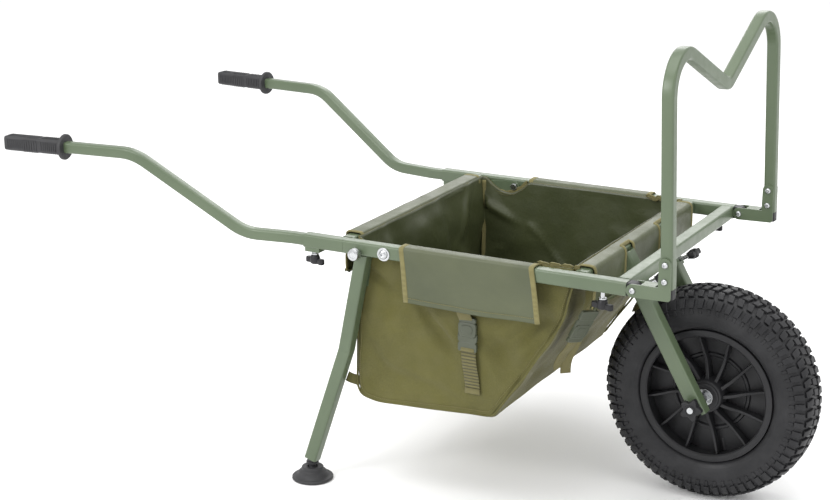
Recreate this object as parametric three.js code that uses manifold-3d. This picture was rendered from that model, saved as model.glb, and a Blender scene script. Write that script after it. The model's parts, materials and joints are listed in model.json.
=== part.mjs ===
// Folding single-wheel barrow with a fabric load bag.
// Millimetres, +Z up, +X towards the wheel. The finished group is moved along X at the end, so that the
// origin lies on the floor at the middle of the overall box; the dimensions below are before that move.
// "right" and "left" are the sides of the person who pushes it: right is -Y, left is +Y.
import * as THREE from 'three';
import { mergeVertices } from 'three/addons/utils/BufferGeometryUtils.js';
import Module from 'manifold-3d';

const wasm = await Module();
wasm.setup();

// ---- driving dimensions ----
const GAP = 0.3;                  // clearance between touching pieces
const SIDES = [['right', -1], ['left', 1]];
const ORIGIN_SHIFT = -4.1;        // moves the origin to the middle of the overall box

const TUBE = 25;                  // square frame tube
const TUBE_CORNER = 4;
const RAIL_Y = 278.5;             // rail centre line from the middle plane
const RAIL_Z = 464.5;
const RAIL_REAR_X = -52;
const RAIL_FRONT_X = 497;
const SLEEVE_REAR_X = -136;
const SLEEVE_BORE = 22;
const CROSS_TUBES = { rear_cross_tube: -54.5, inner_cross_tube: 405.5, front_cross_tube: 484.5 };

const HANDLE_TUBE = 21;
const HANDLE_BEND = 90;           // bend radius of the tube's centre line
const HANDLE_ROUTE = [[-62, 278.5, 464.5], [-166, 278.5, 464.5], [-260, 293.5, 464.5],
  [-472, 341, 602], [-747, 367.3, 600]];
const GRIP_LENGTH = 133;
const GRIP_SIZE = 30;
const GRIP_FLANGE_RADIUS = 25;
const GRIP_FLANGE_THICKNESS = 8;
const GRIP_END_WALL = 5;

const BAR_TUBE = 22;
const BAR_X = 567.5;              // load bar at the foot of its uprights
const BAR_FOOT_Z = 474;
const BAR_LEAN = 2 * Math.PI / 180;
const BAR_FACING = [Math.cos(BAR_LEAN), 0, Math.sin(BAR_LEAN)];
const BAR_FACE_Y = RAIL_Y + BAR_TUBE / 2 + GAP;   // inner face of the bracket's outer cheek
const BAR_INNER_FACE_Y = RAIL_Y - BAR_TUBE / 2 - GAP;
const BAR_SHOULDER_Z = 894;       // where the straight runs would meet
const BAR_DIP_Z = 769;
const BAR_SHOULDER_BEND = 66;
const BAR_DIP_BEND = 30;
const HINGE_X = 509;
const HINGE_Z = 465;
const HINGE_ROUND = 11.6;          // rounded end of the bracket around its bolt
const PLATE = 2.8;                // sheet steel of the brackets
const BRACKET_TOP_Z = 529;
const BRACKET_BOLTS_Z = [488.4, 517.3];
const BRACKET_BOLT_X = 565;
const BRACKET_BASE_Z = 455;

const LEG_PIVOT = [33, 462];      // x and z
const LEG_PIN = [-20, 458];
const LEG_ROUTE = [[-13.6, 278.5, 461], [-53, 278.5, 264], [-121, 295, 40]];
const LEG_BEND = 60;
const LEG_HANGER_Y = 264.1;       // middle of the hanger plate inside the rail

const FOOT_BALL_Z = 18;
const FOOT_BALL_RADIUS = 9;

const WHEEL_X = 560.5;
const WHEEL_RADIUS = 200;
const TYRE_WIDTH = 100;
const RIM_RADIUS = 127;
const RIM_WALL = 9;
const SPOKES = 12;
const HUB_RADIUS = 28;
const HUB_HALF = 45;
const BEARING_RADIUS = 16;
const BEARING_WIDTH = 10;
const AXLE_RADIUS = 6;

const FORK_TOP = [417, 452];      // x and z where the arms' line meets the cross tube
const FORK_Y = 84;
const FORK_TUBE = 28;
const FORK_RAKE = Math.atan2(WHEEL_X - FORK_TOP[0], FORK_TOP[1] - WHEEL_RADIUS);
const FORK_REACH = Math.hypot(WHEEL_X - FORK_TOP[0], FORK_TOP[1] - WHEEL_RADIUS);
const SOCKET_SIZE = 33;
const SOCKET_LENGTH = 64;
const FORK_ARM_START = 22;
const FORK_ARM_PAST_AXLE = 19;
const FORK_KNOB_DOWN = 54;        // along the socket
const FORK_KNOB_OUT = 37;         // knob's inner face from the arm's centre line

const SCREW_RADIUS = 4;
const SMALL_HEAD = [5.6, 4];      // radius and height of a bolt's head, on hinges and brackets
const LARGE_HEAD = [11, 5];       // on the legs' pivots
const HANDLE_KNOB_X = -118;
const RAIL_KNOB_X = 451;

const BAG_HALF = 262;             // outer face of the side panels
const BAG_WALL = 3;
const BAG_SIDE = [[-41, 478], [-38, 438], [-41, 200], [-38, 178], [-22, 166], [8, 162], [112, 167],
  [236, 175], [264, 215], [296, 259], [330, 313], [352, 347], [372, 384], [392, 452], [392, 478]];
const BAG_MIDDLE_X = 150;
const BAG_FLOOR_Z = 190;          // the outline's points below this belong to the floor
const SIDE_FLAP_X = [67, 333];
const SIDE_FLAP_LOW_Z = 382;
const STRAP_X = 198;

// ---- materials ----
function finish(color, roughness, metalness) {
  return new THREE.MeshStandardMaterial({ color, roughness, metalness });
}

const GREEN_PAINT = ['#7f8f74', 0.42, 0.1];
const BRIGHT_ZINC = ['#c9cccd', 0.3, 1.0];
const BLACK_PLASTIC = ['#1c1d1f', 0.5, 0.0];
const BLACK_RUBBER = ['#232427', 0.75, 0.0];
const BAG_CLOTH = ['#6c683c', 0.9, 0.0];
const FLAP_CLOTH = ['#6d725c', 0.7, 0.0];
const WEBBING = ['#6f6b42', 0.85, 0.0];

// ---- booleans ----
function toSolid(geometry) {
  const bare = geometry.clone();
  bare.deleteAttribute('normal');
  bare.deleteAttribute('uv');
  const merged = mergeVertices(bare);
  return new wasm.Manifold(new wasm.Mesh({
    numProp: 3,
    vertProperties: new Float32Array(merged.attributes.position.array),
    triVerts: new Uint32Array(merged.index.array),
  }));
}

function toGeometry(solid) {
  const mesh = solid.getMesh();
  const geometry = new THREE.BufferGeometry();
  geometry.setAttribute('position', new THREE.BufferAttribute(new Float32Array(mesh.vertProperties), 3));
  geometry.setIndex(new THREE.BufferAttribute(new Uint32Array(mesh.triVerts), 1));
  geometry.computeVertexNormals();
  return geometry;
}

function joined(...geometries) {
  return toGeometry(geometries.map(toSolid).reduce((whole, piece) => whole.add(piece)));
}

function cut(geometry, ...tools) {
  return toGeometry(tools.map(toSolid).reduce((rest, tool) => rest.subtract(tool), toSolid(geometry)));
}

// ---- shapes ----
function box([x0, x1], [y0, y1], [z0, z1]) {
  const geometry = new THREE.BoxGeometry(x1 - x0, y1 - y0, z1 - z0);
  return geometry.translate((x0 + x1) / 2, (y0 + y1) / 2, (z0 + z1) / 2);
}

function span(a, b) {
  return [Math.min(a, b), Math.max(a, b)];
}

// A cylinder along Y between two y values.
function pinAlongY(radius, y0, y1, x, z, sides = 16) {
  const geometry = new THREE.CylinderGeometry(radius, radius, Math.abs(y1 - y0), sides);
  return geometry.translate(x, (y0 + y1) / 2, z);
}

// A cylinder along Z between two heights.
function pinAlongZ(radius, z0, z1, x = 0, y = 0, sides = 20) {
  const geometry = new THREE.CylinderGeometry(radius, radius, Math.abs(z1 - z0), sides);
  return geometry.rotateX(Math.PI / 2).translate(x, y, (z0 + z1) / 2);
}

// A closed profile of [radius, height] points turned about Z.
function turned(profile, sides = 32) {
  const points = profile.map(([radius, height]) => new THREE.Vector2(radius, height));
  return new THREE.LatheGeometry(points, sides).rotateX(Math.PI / 2);
}

// The same, turned about Y.
function turnedAboutY(profile, sides = 32) {
  const points = profile.map(([radius, height]) => new THREE.Vector2(radius, height));
  return new THREE.LatheGeometry(points, sides);
}

function outline(points) {
  return new THREE.Shape(points.map(([x, y]) => new THREE.Vector2(x, y)));
}

// An outline in the XZ plane, extruded along Y between two y values.
function plateXZ(points, y0, y1) {
  const [low, high] = span(y0, y1);
  const geometry = new THREE.ExtrudeGeometry(outline(points), { depth: high - low, bevelEnabled: false });
  return geometry.rotateX(Math.PI / 2).translate(0, high, 0);
}

function arcPoints(cx, cz, radius, fromDegrees, toDegrees, steps) {
  return Array.from({ length: steps + 1 }, (_, i) => {
    const angle = THREE.MathUtils.degToRad(fromDegrees + (toDegrees - fromDegrees) * i / steps);
    return [cx + radius * Math.cos(angle), cz + radius * Math.sin(angle)];
  });
}

function roundedSquare(size, corner = TUBE_CORNER) {
  const inner = size / 2 - corner;
  const quarters = [[1, 1, 0], [-1, 1, 90], [-1, -1, 180], [1, -1, 270]];
  return outline(quarters.flatMap(([sx, sy, from]) =>
    arcPoints(sx * inner, sy * inner, corner, from, from + 90, 2)));
}

// ---- bent tubes ----
const vector = (point) => new THREE.Vector3(...point);

// Points along straight runs joined by bends of the given radii.
function bentLine(corners, radii, stepDegrees = 8) {
  const points = [vector(corners[0])];
  for (let i = 1; i < corners.length - 1; i += 1) {
    const corner = vector(corners[i]);
    const back = vector(corners[i - 1]).sub(corner).normalize();
    const ahead = vector(corners[i + 1]).sub(corner).normalize();
    const half = back.angleTo(ahead) / 2;
    const radius = radii[i - 1];
    const start = corner.clone().addScaledVector(back, radius / Math.tan(half));
    const inwards = back.clone().add(ahead).normalize();
    const centre = corner.clone().addScaledVector(inwards, radius / Math.sin(half));
    const turn = Math.PI - 2 * half;
    const steps = Math.max(2, Math.ceil(THREE.MathUtils.radToDeg(turn) / stepDegrees));
    const spoke = start.clone().sub(centre);
    for (let k = 0; k <= steps; k += 1) {
      const angle = turn * k / steps;
      const point = centre.clone().addScaledVector(spoke, Math.cos(angle));
      points.push(point.addScaledVector(back, -radius * Math.sin(angle)));
    }
  }
  points.push(vector(corners[corners.length - 1]));
  return points;
}

// A path through given points that keeps one side of its section facing `facing`.
class TubeRoute extends THREE.Curve {
  constructor(points, facing) {
    super();
    this.points = points;
    this.facing = vector(facing);
  }

  getPoint(t, target = new THREE.Vector3()) {
    const place = t * (this.points.length - 1);
    const index = Math.min(Math.floor(place), this.points.length - 2);
    return target.lerpVectors(this.points[index], this.points[index + 1], place - index);
  }

  getSpacedPoints() {
    return this.points;
  }

  computeFrenetFrames() {
    const last = this.points.length - 1;
    const tangents = this.points.map((_, i) => this.points[Math.min(i + 1, last)].clone()
      .sub(this.points[Math.max(i - 1, 0)]).normalize());
    const squareTo = (t) => this.facing.clone().addScaledVector(t, -this.facing.dot(t)).normalize();
    const normals = tangents.map(squareTo);
    const binormals = tangents.map((t, i) => t.clone().cross(normals[i]));
    return { tangents, normals, binormals };
  }
}

function bentTube(corners, radii, size, facing) {
  const points = bentLine(corners, radii);
  const extrudePath = new TubeRoute(points, facing);
  const steps = points.length - 1;
  return new THREE.ExtrudeGeometry(roundedSquare(size), { steps, bevelEnabled: false, extrudePath });
}

function straightTube(from, to, size, facing = [0, 0, 1]) {
  return bentTube([from, to], [], size, facing);
}

// A bore of square section with sharp corners, for cutting.
function squareBore(from, to, size, facing = [0, 0, 1]) {
  const half = size / 2;
  const section = outline([[-half, -half], [half, -half], [half, half], [-half, half]]);
  const extrudePath = new TubeRoute([vector(from), vector(to)], facing);
  return new THREE.ExtrudeGeometry(section, { steps: 1, bevelEnabled: false, extrudePath });
}

// ---- the assembly ----
const barrow = new THREE.Group();

function add(name, geometry, look, parent = barrow) {
  const mesh = new THREE.Mesh(geometry, finish(...look));
  mesh.name = name;
  parent.add(mesh);
  return mesh;
}

// ---- knobs and bolts ----
// Wing knob on the end of its screw: the screw points up +Z, the wings run along X.
function wingKnob(screwLength, hubRadius = 9, wingReach = 22) {
  const screw = pinAlongZ(SCREW_RADIUS, -4, screwLength, 0, 0, 12);
  const hub = pinAlongZ(hubRadius, -16, 0, 0, 0, 20);
  const tip = 6;
  const waist = 5;
  const wing = outline([[wingReach, -tip], [wingReach, tip], [hubRadius, waist], [-hubRadius, waist],
    [-wingReach, tip], [-wingReach, -tip], [-hubRadius, -waist], [hubRadius, -waist]]);
  const wings = new THREE.ExtrudeGeometry(wing, { depth: 11, bevelEnabled: false }).translate(0, 0, -17.5);
  return joined(screw, hub, wings);
}

// Button-head bolt along Y: head outside, shank inwards, nut inside.
function crossBolt(side, x, z, headY, nutY, headRadius, headHeight) {
  const head = pinAlongY(headRadius, side * headY, side * (headY + headHeight), x, z);
  const shank = pinAlongY(SCREW_RADIUS, side * (headY + 1), side * (nutY - 4), x, z, 12);
  const nut = pinAlongY(6.5, side * nutY, side * (nutY - 5), x, z, 6);
  return joined(head, shank, nut);
}

// ---- frame ----
function screwHole(y0, y1, x, z) {
  return pinAlongY(SCREW_RADIUS + GAP, y0, y1, x, z, 12);
}

function rail(side) {
  const y = side * RAIL_Y;
  const [inside, outside] = [side * (RAIL_Y - TUBE), side * (RAIL_Y + TUBE)];
  const tube = straightTube([RAIL_REAR_X, y, RAIL_Z], [RAIL_FRONT_X, y, RAIL_Z], TUBE);
  const knobHole = pinAlongZ(SCREW_RADIUS + GAP, RAIL_Z - TUBE, RAIL_Z, RAIL_KNOB_X, y, 16);
  const legHoles = [LEG_PIVOT, LEG_PIN].map((place) => screwHole(inside, outside, ...place));
  return cut(tube, ...legHoles, knobHole);
}

function handleSleeve(side) {
  const y = side * RAIL_Y;
  const front = RAIL_REAR_X - GAP;
  const low = RAIL_Z - TUBE / 2;
  const tube = straightTube([SLEEVE_REAR_X, y, RAIL_Z], [front, y, RAIL_Z], TUBE);
  const saddle = box([HANDLE_KNOB_X - 15, HANDLE_KNOB_X + 15], [y - 11, y + 11], [low - 7, low + 1]);
  const bore = squareBore([SLEEVE_REAR_X - 5, y, RAIL_Z], [front + 5, y, RAIL_Z], SLEEVE_BORE);
  const hole = pinAlongZ(SCREW_RADIUS + GAP, low - 12, RAIL_Z, HANDLE_KNOB_X, y, 16);
  return cut(joined(tube, saddle), bore, hole);
}

function crossTube(x) {
  const reach = RAIL_Y - TUBE / 2 - GAP;
  return straightTube([x, -reach, RAIL_Z], [x, reach, RAIL_Z], TUBE);
}

// Solid end piece of a rail, with a rounded lug that carries the load bar's hinge bolt.
function hingeLug(side) {
  const lug = plateXZ([[RAIL_FRONT_X + GAP, 454], [HINGE_X, 454],
    ...arcPoints(HINGE_X, HINGE_Z, 11, -90, 90, 10), [RAIL_FRONT_X + GAP, 476]], side * 268, side * 289);
  return cut(lug, screwHole(side * 250, side * 300, HINGE_X, HINGE_Z));
}

// ---- load bar ----
function barPoint(y, z) {
  return [BAR_X - (z - BAR_FOOT_Z) * Math.tan(BAR_LEAN), y, z];
}

function loadBar() {
  const corners = [barPoint(-RAIL_Y, BAR_FOOT_Z), barPoint(-RAIL_Y, BAR_SHOULDER_Z), barPoint(0, BAR_DIP_Z),
    barPoint(RAIL_Y, BAR_SHOULDER_Z), barPoint(RAIL_Y, BAR_FOOT_Z)];
  const radii = [BAR_SHOULDER_BEND, BAR_DIP_BEND, BAR_SHOULDER_BEND];
  const holes = BRACKET_BOLTS_Z.map((z) => screwHole(-RAIL_Y - TUBE, RAIL_Y + TUBE, BRACKET_BOLT_X, z));
  return cut(bentTube(corners, radii, BAR_TUBE, BAR_FACING), ...holes);
}

// Folded channel: an L-shaped cheek on each face of the tube and a web over the arm.
function barBracket(side) {
  const cheek = [...arcPoints(HINGE_X, HINGE_Z, HINGE_ROUND, 90, 270, 12),
    ...arcPoints(571.5, BRACKET_BASE_Z + 5, 5, -90, 0, 4), [575.5, 518],
    ...arcPoints(565, 518.5, 10.5, 0, 180, 10), [554, 477]];
  const faces = [BAR_FACE_Y, BAR_INNER_FACE_Y - PLATE];
  const cheeks = faces.map((y) => plateXZ(cheek, side * y, side * (y + PLATE)));
  const web = box([523, 548], span(side * (faces[1] + 1), side * (faces[0] + 1)), [474.2, 477]);
  const holes = [[HINGE_X, HINGE_Z], ...BRACKET_BOLTS_Z.map((z) => [BRACKET_BOLT_X, z])];
  return cut(joined(...cheeks, web), ...holes.map(([x, z]) => screwHole(side * 250, side * 305, x, z)));
}

function barPlug(side) {
  const y = side * RAIL_Y;
  const [low, high] = [BRACKET_BASE_Z + 1, BAR_FOOT_Z - GAP];
  return straightTube(barPoint(y, low), barPoint(y, high), BAR_TUBE - 0.5, BAR_FACING);
}

// ---- handles ----
function handleCorners(side) {
  return HANDLE_ROUTE.map(([x, y, z]) => [x, side * y, z]);
}

function handleTube(side) {
  const radii = HANDLE_ROUTE.slice(2).map(() => HANDLE_BEND);
  return bentTube(handleCorners(side), radii, HANDLE_TUBE, [0, 0, 1]);
}

// Square rubber grip pulled over the tube's end, with a round flange at its front.
function grip(side) {
  const corners = handleCorners(side);
  const end = vector(corners[corners.length - 1]);
  const back = end.clone().sub(vector(corners[corners.length - 2])).normalize();
  const along = (distance) => end.clone().addScaledVector(back, distance).toArray();
  const front = GRIP_END_WALL + GAP - GRIP_LENGTH;
  const body = bentTube([along(front), along(GRIP_END_WALL + GAP)], [], GRIP_SIZE, [0, 0, 1]);
  const disc = new THREE.CylinderGeometry(GRIP_FLANGE_RADIUS, GRIP_FLANGE_RADIUS, GRIP_FLANGE_THICKNESS, 32);
  disc.applyQuaternion(new THREE.Quaternion().setFromUnitVectors(new THREE.Vector3(0, 1, 0), back));
  disc.translate(...along(front + GRIP_FLANGE_THICKNESS / 2));
  const bore = squareBore(along(front - 5), along(GAP), HANDLE_TUBE + 2 * GAP);
  return cut(joined(body, disc), bore);
}

// ---- legs and feet ----
// Bent leg with a hanger plate that reaches up inside the rail to the pivot bolt and the lock pin.
function leg(side) {
  const corners = LEG_ROUTE.map(([x, y, z]) => [x, side * y, z]);
  const railUnderside = RAIL_Z - TUBE / 2 - GAP;
  const above = box([-60, 60], span(side * 240, side * 320), [railUnderside, railUnderside + 40]);
  const tube = cut(bentTube(corners, [LEG_BEND], TUBE, [0, 1, 0]), above);
  const [px, pz] = LEG_PIVOT;
  const [lx, lz] = LEG_PIN;
  const shape = [[-34, 384], [-15, 388], [-7, 444], [1, pz - 11], ...arcPoints(px, pz, 11, -90, 90, 8),
    ...arcPoints(lx, lz, 10, 100, 180, 6)];
  const inner = side * (LEG_HANGER_Y - PLATE / 2);
  const outer = side * (LEG_HANGER_Y + PLATE / 2);
  const weld = box([-27, -18], span(side * 264, side * 270), [400, 446]);
  const plate = plateXZ(shape, inner, outer);
  const holes = [screwHole(side * 250, side * 266, px, pz), screwHole(side * 250, side * 266, lx, lz)];
  return cut(joined(tube, weld, plate), ...holes);
}

function legBall(side) {
  const [x, y, z] = LEG_ROUTE[2];
  const plug = pinAlongZ(12, 30, z - 5, x, side * y, 16);
  const neck = pinAlongZ(5, FOOT_BALL_Z, 31, x, side * y, 12);
  const ball = new THREE.SphereGeometry(FOOT_BALL_RADIUS, 14, 9).rotateX(Math.PI / 2);
  ball.translate(x, side * y, FOOT_BALL_Z);
  return joined(plug, neck, ball);
}

function foot(side) {
  const [x, y] = LEG_ROUTE[2];
  const bore = FOOT_BALL_RADIUS + 0.5;
  const socket = arcPoints(0, FOOT_BALL_Z, bore, 39, -90, 6);
  const profile = [[0, 0], [39, 0], [39, 4], [27, 10], [26, 14], [20.5, 15], [20.5, 24],
    ...socket.slice(0, -1), [0, FOOT_BALL_Z - bore]];
  return turned(profile, 28).translate(x, side * y, 0);
}

// Spring plunger: knurled head outside the rail, pin through to the leg's hanger plate.
function lockPin(side) {
  const face = RAIL_Y + TUBE / 2 + GAP;
  const [x, z] = LEG_PIN;
  const pin = pinAlongY(SCREW_RADIUS, side * 263, side * (face + 2), x, z, 16);
  const collar = pinAlongY(6.5, side * face, side * (face + 6), x, z, 20);
  const head = pinAlongY(11, side * (face + 5), side * (face + 21), x, z, 28);
  return joined(pin, collar, head);
}

// ---- fork ----
// A point on the fork's line: `down` along the arm from the cross tube, `out` towards the front.
function forkPoint(down, out = 0) {
  const [sin, cos] = [Math.sin(FORK_RAKE), Math.cos(FORK_RAKE)];
  return [FORK_TOP[0] + down * sin + out * cos, FORK_TOP[1] - down * cos + out * sin];
}

function forkAt(side, down, out = 0) {
  const [x, z] = forkPoint(down, out);
  return [x, side * FORK_Y, z];
}

function forkSocket(side) {
  const tube = straightTube(forkAt(side, -22), forkAt(side, SOCKET_LENGTH), SOCKET_SIZE, [0, 1, 0]);
  const bore = squareBore(forkAt(side, -60), forkAt(side, SOCKET_LENGTH + 5), FORK_TUBE + 2 * GAP, [0, 1, 0]);
  const half = TUBE / 2 + GAP;
  const x = CROSS_TUBES.inner_cross_tube;
  const crossing = box([x - half - 20, x + half], [-200, 200], [RAIL_Z - half, RAIL_Z + 60]);
  const above = box([x, x + 60], [-200, 200], [RAIL_Z + 6, RAIL_Z + 60]);
  const screw = new THREE.CylinderGeometry(SCREW_RADIUS + GAP, SCREW_RADIUS + GAP, 30, 16);
  screw.applyQuaternion(knobTurn());
  screw.translate(...forkAt(side, FORK_KNOB_DOWN, SOCKET_SIZE / 2 + 5));
  return cut(tube, bore, crossing, above, screw);
}

// Turn that lays +Y along the direction square to the arms, towards the front.
function knobTurn() {
  const out = new THREE.Vector3(Math.cos(FORK_RAKE), 0, Math.sin(FORK_RAKE));
  return new THREE.Quaternion().setFromUnitVectors(new THREE.Vector3(0, 1, 0), out);
}

// Arm with an open slot at its end that drops over the axle.
function forkArm(side) {
  const end = FORK_REACH + FORK_ARM_PAST_AXLE;
  const tube = straightTube(forkAt(side, FORK_ARM_START), forkAt(side, end), FORK_TUBE, [0, 1, 0]);
  const slotWidth = 2 * (AXLE_RADIUS + GAP);
  const slot = squareBore(forkAt(side, FORK_REACH), forkAt(side, end + 5), slotWidth, [0, 1, 0]);
  slot.translate(0, -side * FORK_Y, 0).scale(1, 4, 1).translate(0, side * FORK_Y, 0);
  const [near, far] = [side * (FORK_Y - 20), side * (FORK_Y + 20)];
  const seat = pinAlongY(AXLE_RADIUS + GAP, near, far, WHEEL_X, WHEEL_RADIUS, 20);
  return cut(tube, slot, seat);
}

// ---- wheel ----
function tyre() {
  const half = TYRE_WIDTH / 2;
  const outer = arcPoints(0, 0, 1, -78, 78, 12).map(([c, s]) => {
    const across = half * Math.sign(s) * Math.abs(s) ** 0.8;
    const radius = RIM_RADIUS + 6 + (WHEEL_RADIUS - RIM_RADIUS - 6) * Math.abs(c) ** 0.62;
    return [radius, across];
  });
  const bead = half - 12;
  const profile = [[RIM_RADIUS + GAP, -bead], ...outer, [RIM_RADIUS + GAP, bead], [RIM_RADIUS + GAP, -bead]];
  return turnedAboutY(profile, 40);
}

function spoke(index) {
  const turn = 2 * Math.PI * index / SPOKES;
  const bar = box([HUB_RADIUS - 3, RIM_RADIUS - RIM_WALL + 3], [-9, 9], [-4.5, 4.5]);
  return bar.rotateY(turn);
}

function rim() {
  const half = TYRE_WIDTH / 2 - 12;
  const inner = RIM_RADIUS - RIM_WALL;
  const barrel = turnedAboutY([[inner, -half], [RIM_RADIUS, -half], [RIM_RADIUS, half], [inner, half],
    [inner, -half]], 40);
  const pocket = BEARING_RADIUS + GAP;
  const bore = AXLE_RADIUS + 2;
  const seat = HUB_HALF - BEARING_WIDTH - GAP;
  const hub = turnedAboutY([[pocket, -HUB_HALF], [HUB_RADIUS, -HUB_HALF], [HUB_RADIUS, HUB_HALF],
    [pocket, HUB_HALF], [pocket, seat], [bore, seat], [bore, -seat], [pocket, -seat],
    [pocket, -HUB_HALF]], 32);
  const spokes = Array.from({ length: SPOKES }, (_, i) => spoke(i));
  return joined(barrel, hub, ...spokes);
}

function bearing(side) {
  const bore = AXLE_RADIUS + GAP;
  const inner = HUB_HALF - BEARING_WIDTH;
  const ring = [[bore, inner], [BEARING_RADIUS, inner], [BEARING_RADIUS, HUB_HALF], [bore, HUB_HALF],
    [bore, inner]];
  const geometry = turnedAboutY(ring, 28);
  return side > 0 ? geometry : geometry.rotateX(Math.PI);
}

// Threaded axle with a shoulder each side that keeps the hub between the fork arms.
function axle() {
  const shoulder = [HUB_HALF + GAP, FORK_Y - FORK_TUBE / 2 - GAP];
  const end = 122;
  const steps = [[0, -end], [AXLE_RADIUS, -end], [AXLE_RADIUS, -shoulder[1]], [10, -shoulder[1]],
    [10, -shoulder[0]], [AXLE_RADIUS, -shoulder[0]]];
  const mirrored = steps.map(([r, y]) => [r, -y]).reverse();
  return turnedAboutY([...steps, ...mirrored], 24);
}

// Five-lobed clamping knob on the axle's end.
function axleKnob(side) {
  const lobes = 5;
  const points = Array.from({ length: 60 }, (_, i) => {
    const angle = 2 * Math.PI * i / 60;
    const radius = 17.5 + 3.5 * Math.cos(lobes * angle);
    return [radius * Math.cos(angle), radius * Math.sin(angle)];
  });
  const inner = FORK_Y + FORK_TUBE / 2 + 1;
  const star = plateXZ(points, side * (inner + 8), side * (inner + 22));
  const boss = pinAlongY(12, side * inner, side * (inner + 10), 0, 0, 24);
  const bore = pinAlongY(AXLE_RADIUS + GAP, side * (inner - 5), side * 122.5, 0, 0, 20);
  return cut(joined(star, boss), bore);
}

function valveStem() {
  const inner = RIM_RADIUS - RIM_WALL - 4 * GAP;
  const length = 24;
  const stem = new THREE.CylinderGeometry(4, 4, length, 16).rotateZ(Math.PI / 2);
  return stem.translate(inner - length / 2, 0, 0).rotateY(2 * Math.PI * 2.5 / SPOKES);
}

// ---- bag ----
// The side outline moved inwards by the cloth's thickness and left open at the top.
function bagInside() {
  return BAG_SIDE.map(([x, z]) => {
    const inwards = x < BAG_MIDDLE_X ? BAG_WALL : -BAG_WALL;
    const upwards = z < BAG_FLOOR_Z ? BAG_WALL : 0;
    const pastTop = z > RAIL_Z ? 20 : 0;
    return [x + inwards * 1.15, z + upwards + pastTop];
  });
}

function bag() {
  const shell = plateXZ([...BAG_SIDE].reverse(), -BAG_HALF, BAG_HALF);
  const room = plateXZ(bagInside().reverse(), -BAG_HALF + BAG_WALL, BAG_HALF - BAG_WALL);
  const scallops = SIDES.flatMap(([, side]) => [
    box([-80, 62], span(side * 245, side * 300), [440, 500]),
    box([336, 500], span(side * 245, side * 300), [440, 500]),
  ]);
  const top = RAIL_Z + TUBE / 2 + GAP;
  const rearBack = CROSS_TUBES.rear_cross_tube - TUBE / 2 - GAP;
  const rearTop = box([rearBack - BAG_WALL, -40], [-244, 244], [top, top + BAG_WALL]);
  const rearHang = box([rearBack - BAG_WALL, rearBack], [-244, 244], [402, top + BAG_WALL]);
  const frontEdge = CROSS_TUBES.inner_cross_tube + TUBE / 2 + GAP;
  const frontTop = box([390, frontEdge + BAG_WALL], [-244, 244], [top, top + BAG_WALL]);
  const rim = box([-41, 392], [-244, 244], [top - 8, top + BAG_WALL]);
  const rimRoom = box([-37.5, 388.5], [-244 - 1, 244 + 1], [top - 20, top + 20]);
  const hangs = [[-244, -106], [-62, 62], [106, 244]].map((reach) =>
    box([frontEdge, frontEdge + BAG_WALL], reach, [402, top + BAG_WALL]));
  const cloth = cut(shell, room, ...scallops);
  return joined(cloth, cut(rim, rimRoom), rearTop, rearHang, frontTop, ...hangs);
}

// Half a turn about the vertical line at x, which carries a piece of one side over to the other.
function turnedToOtherSide(geometry, x) {
  return geometry.translate(-x, 0, 0).rotateZ(Math.PI).translate(x, 0, 0);
}

// Cloth flap laid over a rail: an inner lip, a top and a long outer hang.
function sideFlap(side) {
  const [x0, x1] = SIDE_FLAP_X;
  const top = RAIL_Z + TUBE / 2 + GAP;
  const outside = RAIL_Y + TUBE / 2 + GAP;
  const inside = RAIL_Y - TUBE / 2 - GAP;
  const section = [[inside - 2.5, top - 20], [inside, top - 20], [inside, top], [outside, top],
    [outside, SIDE_FLAP_LOW_Z], [outside + BAG_WALL, SIDE_FLAP_LOW_Z], [outside + BAG_WALL, top + BAG_WALL],
    [inside - 2.5, top + BAG_WALL]];
  const geometry = new THREE.ExtrudeGeometry(outline(section), { depth: x1 - x0, bevelEnabled: false });
  geometry.rotateX(Math.PI / 2).rotateZ(Math.PI / 2).translate(x0, 0, 0);
  return side > 0 ? geometry : turnedToOtherSide(geometry, (x0 + x1) / 2);
}

// Buckle and its hanging tail, just outside the side panel and under the flap's edge.
function sideStrap(side) {
  const [near, far] = [BAG_HALF + 1, BAG_HALF + 12];
  const buckle = box([STRAP_X - 18, STRAP_X + 18], span(side * near, side * far), [306, 370]);
  const tail = box([STRAP_X - 15, STRAP_X + 15], span(side * (near + 1), side * (near + 5)), [226, 310]);
  return joined(buckle, tail);
}

// Short tie between the leg and the bag's lower rear corner.
function anchorStrap(side) {
  return box([-54, -42.5], span(side * (BAG_HALF + 5), side * (BAG_HALF + 9)), [190, 214]);
}

// ---- build it ----
for (const [name, x] of Object.entries(CROSS_TUBES)) {
  add(name, crossTube(x), GREEN_PAINT);
}
add('load_bar', loadBar(), GREEN_PAINT);
add('bag', bag(), BAG_CLOTH);

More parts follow.
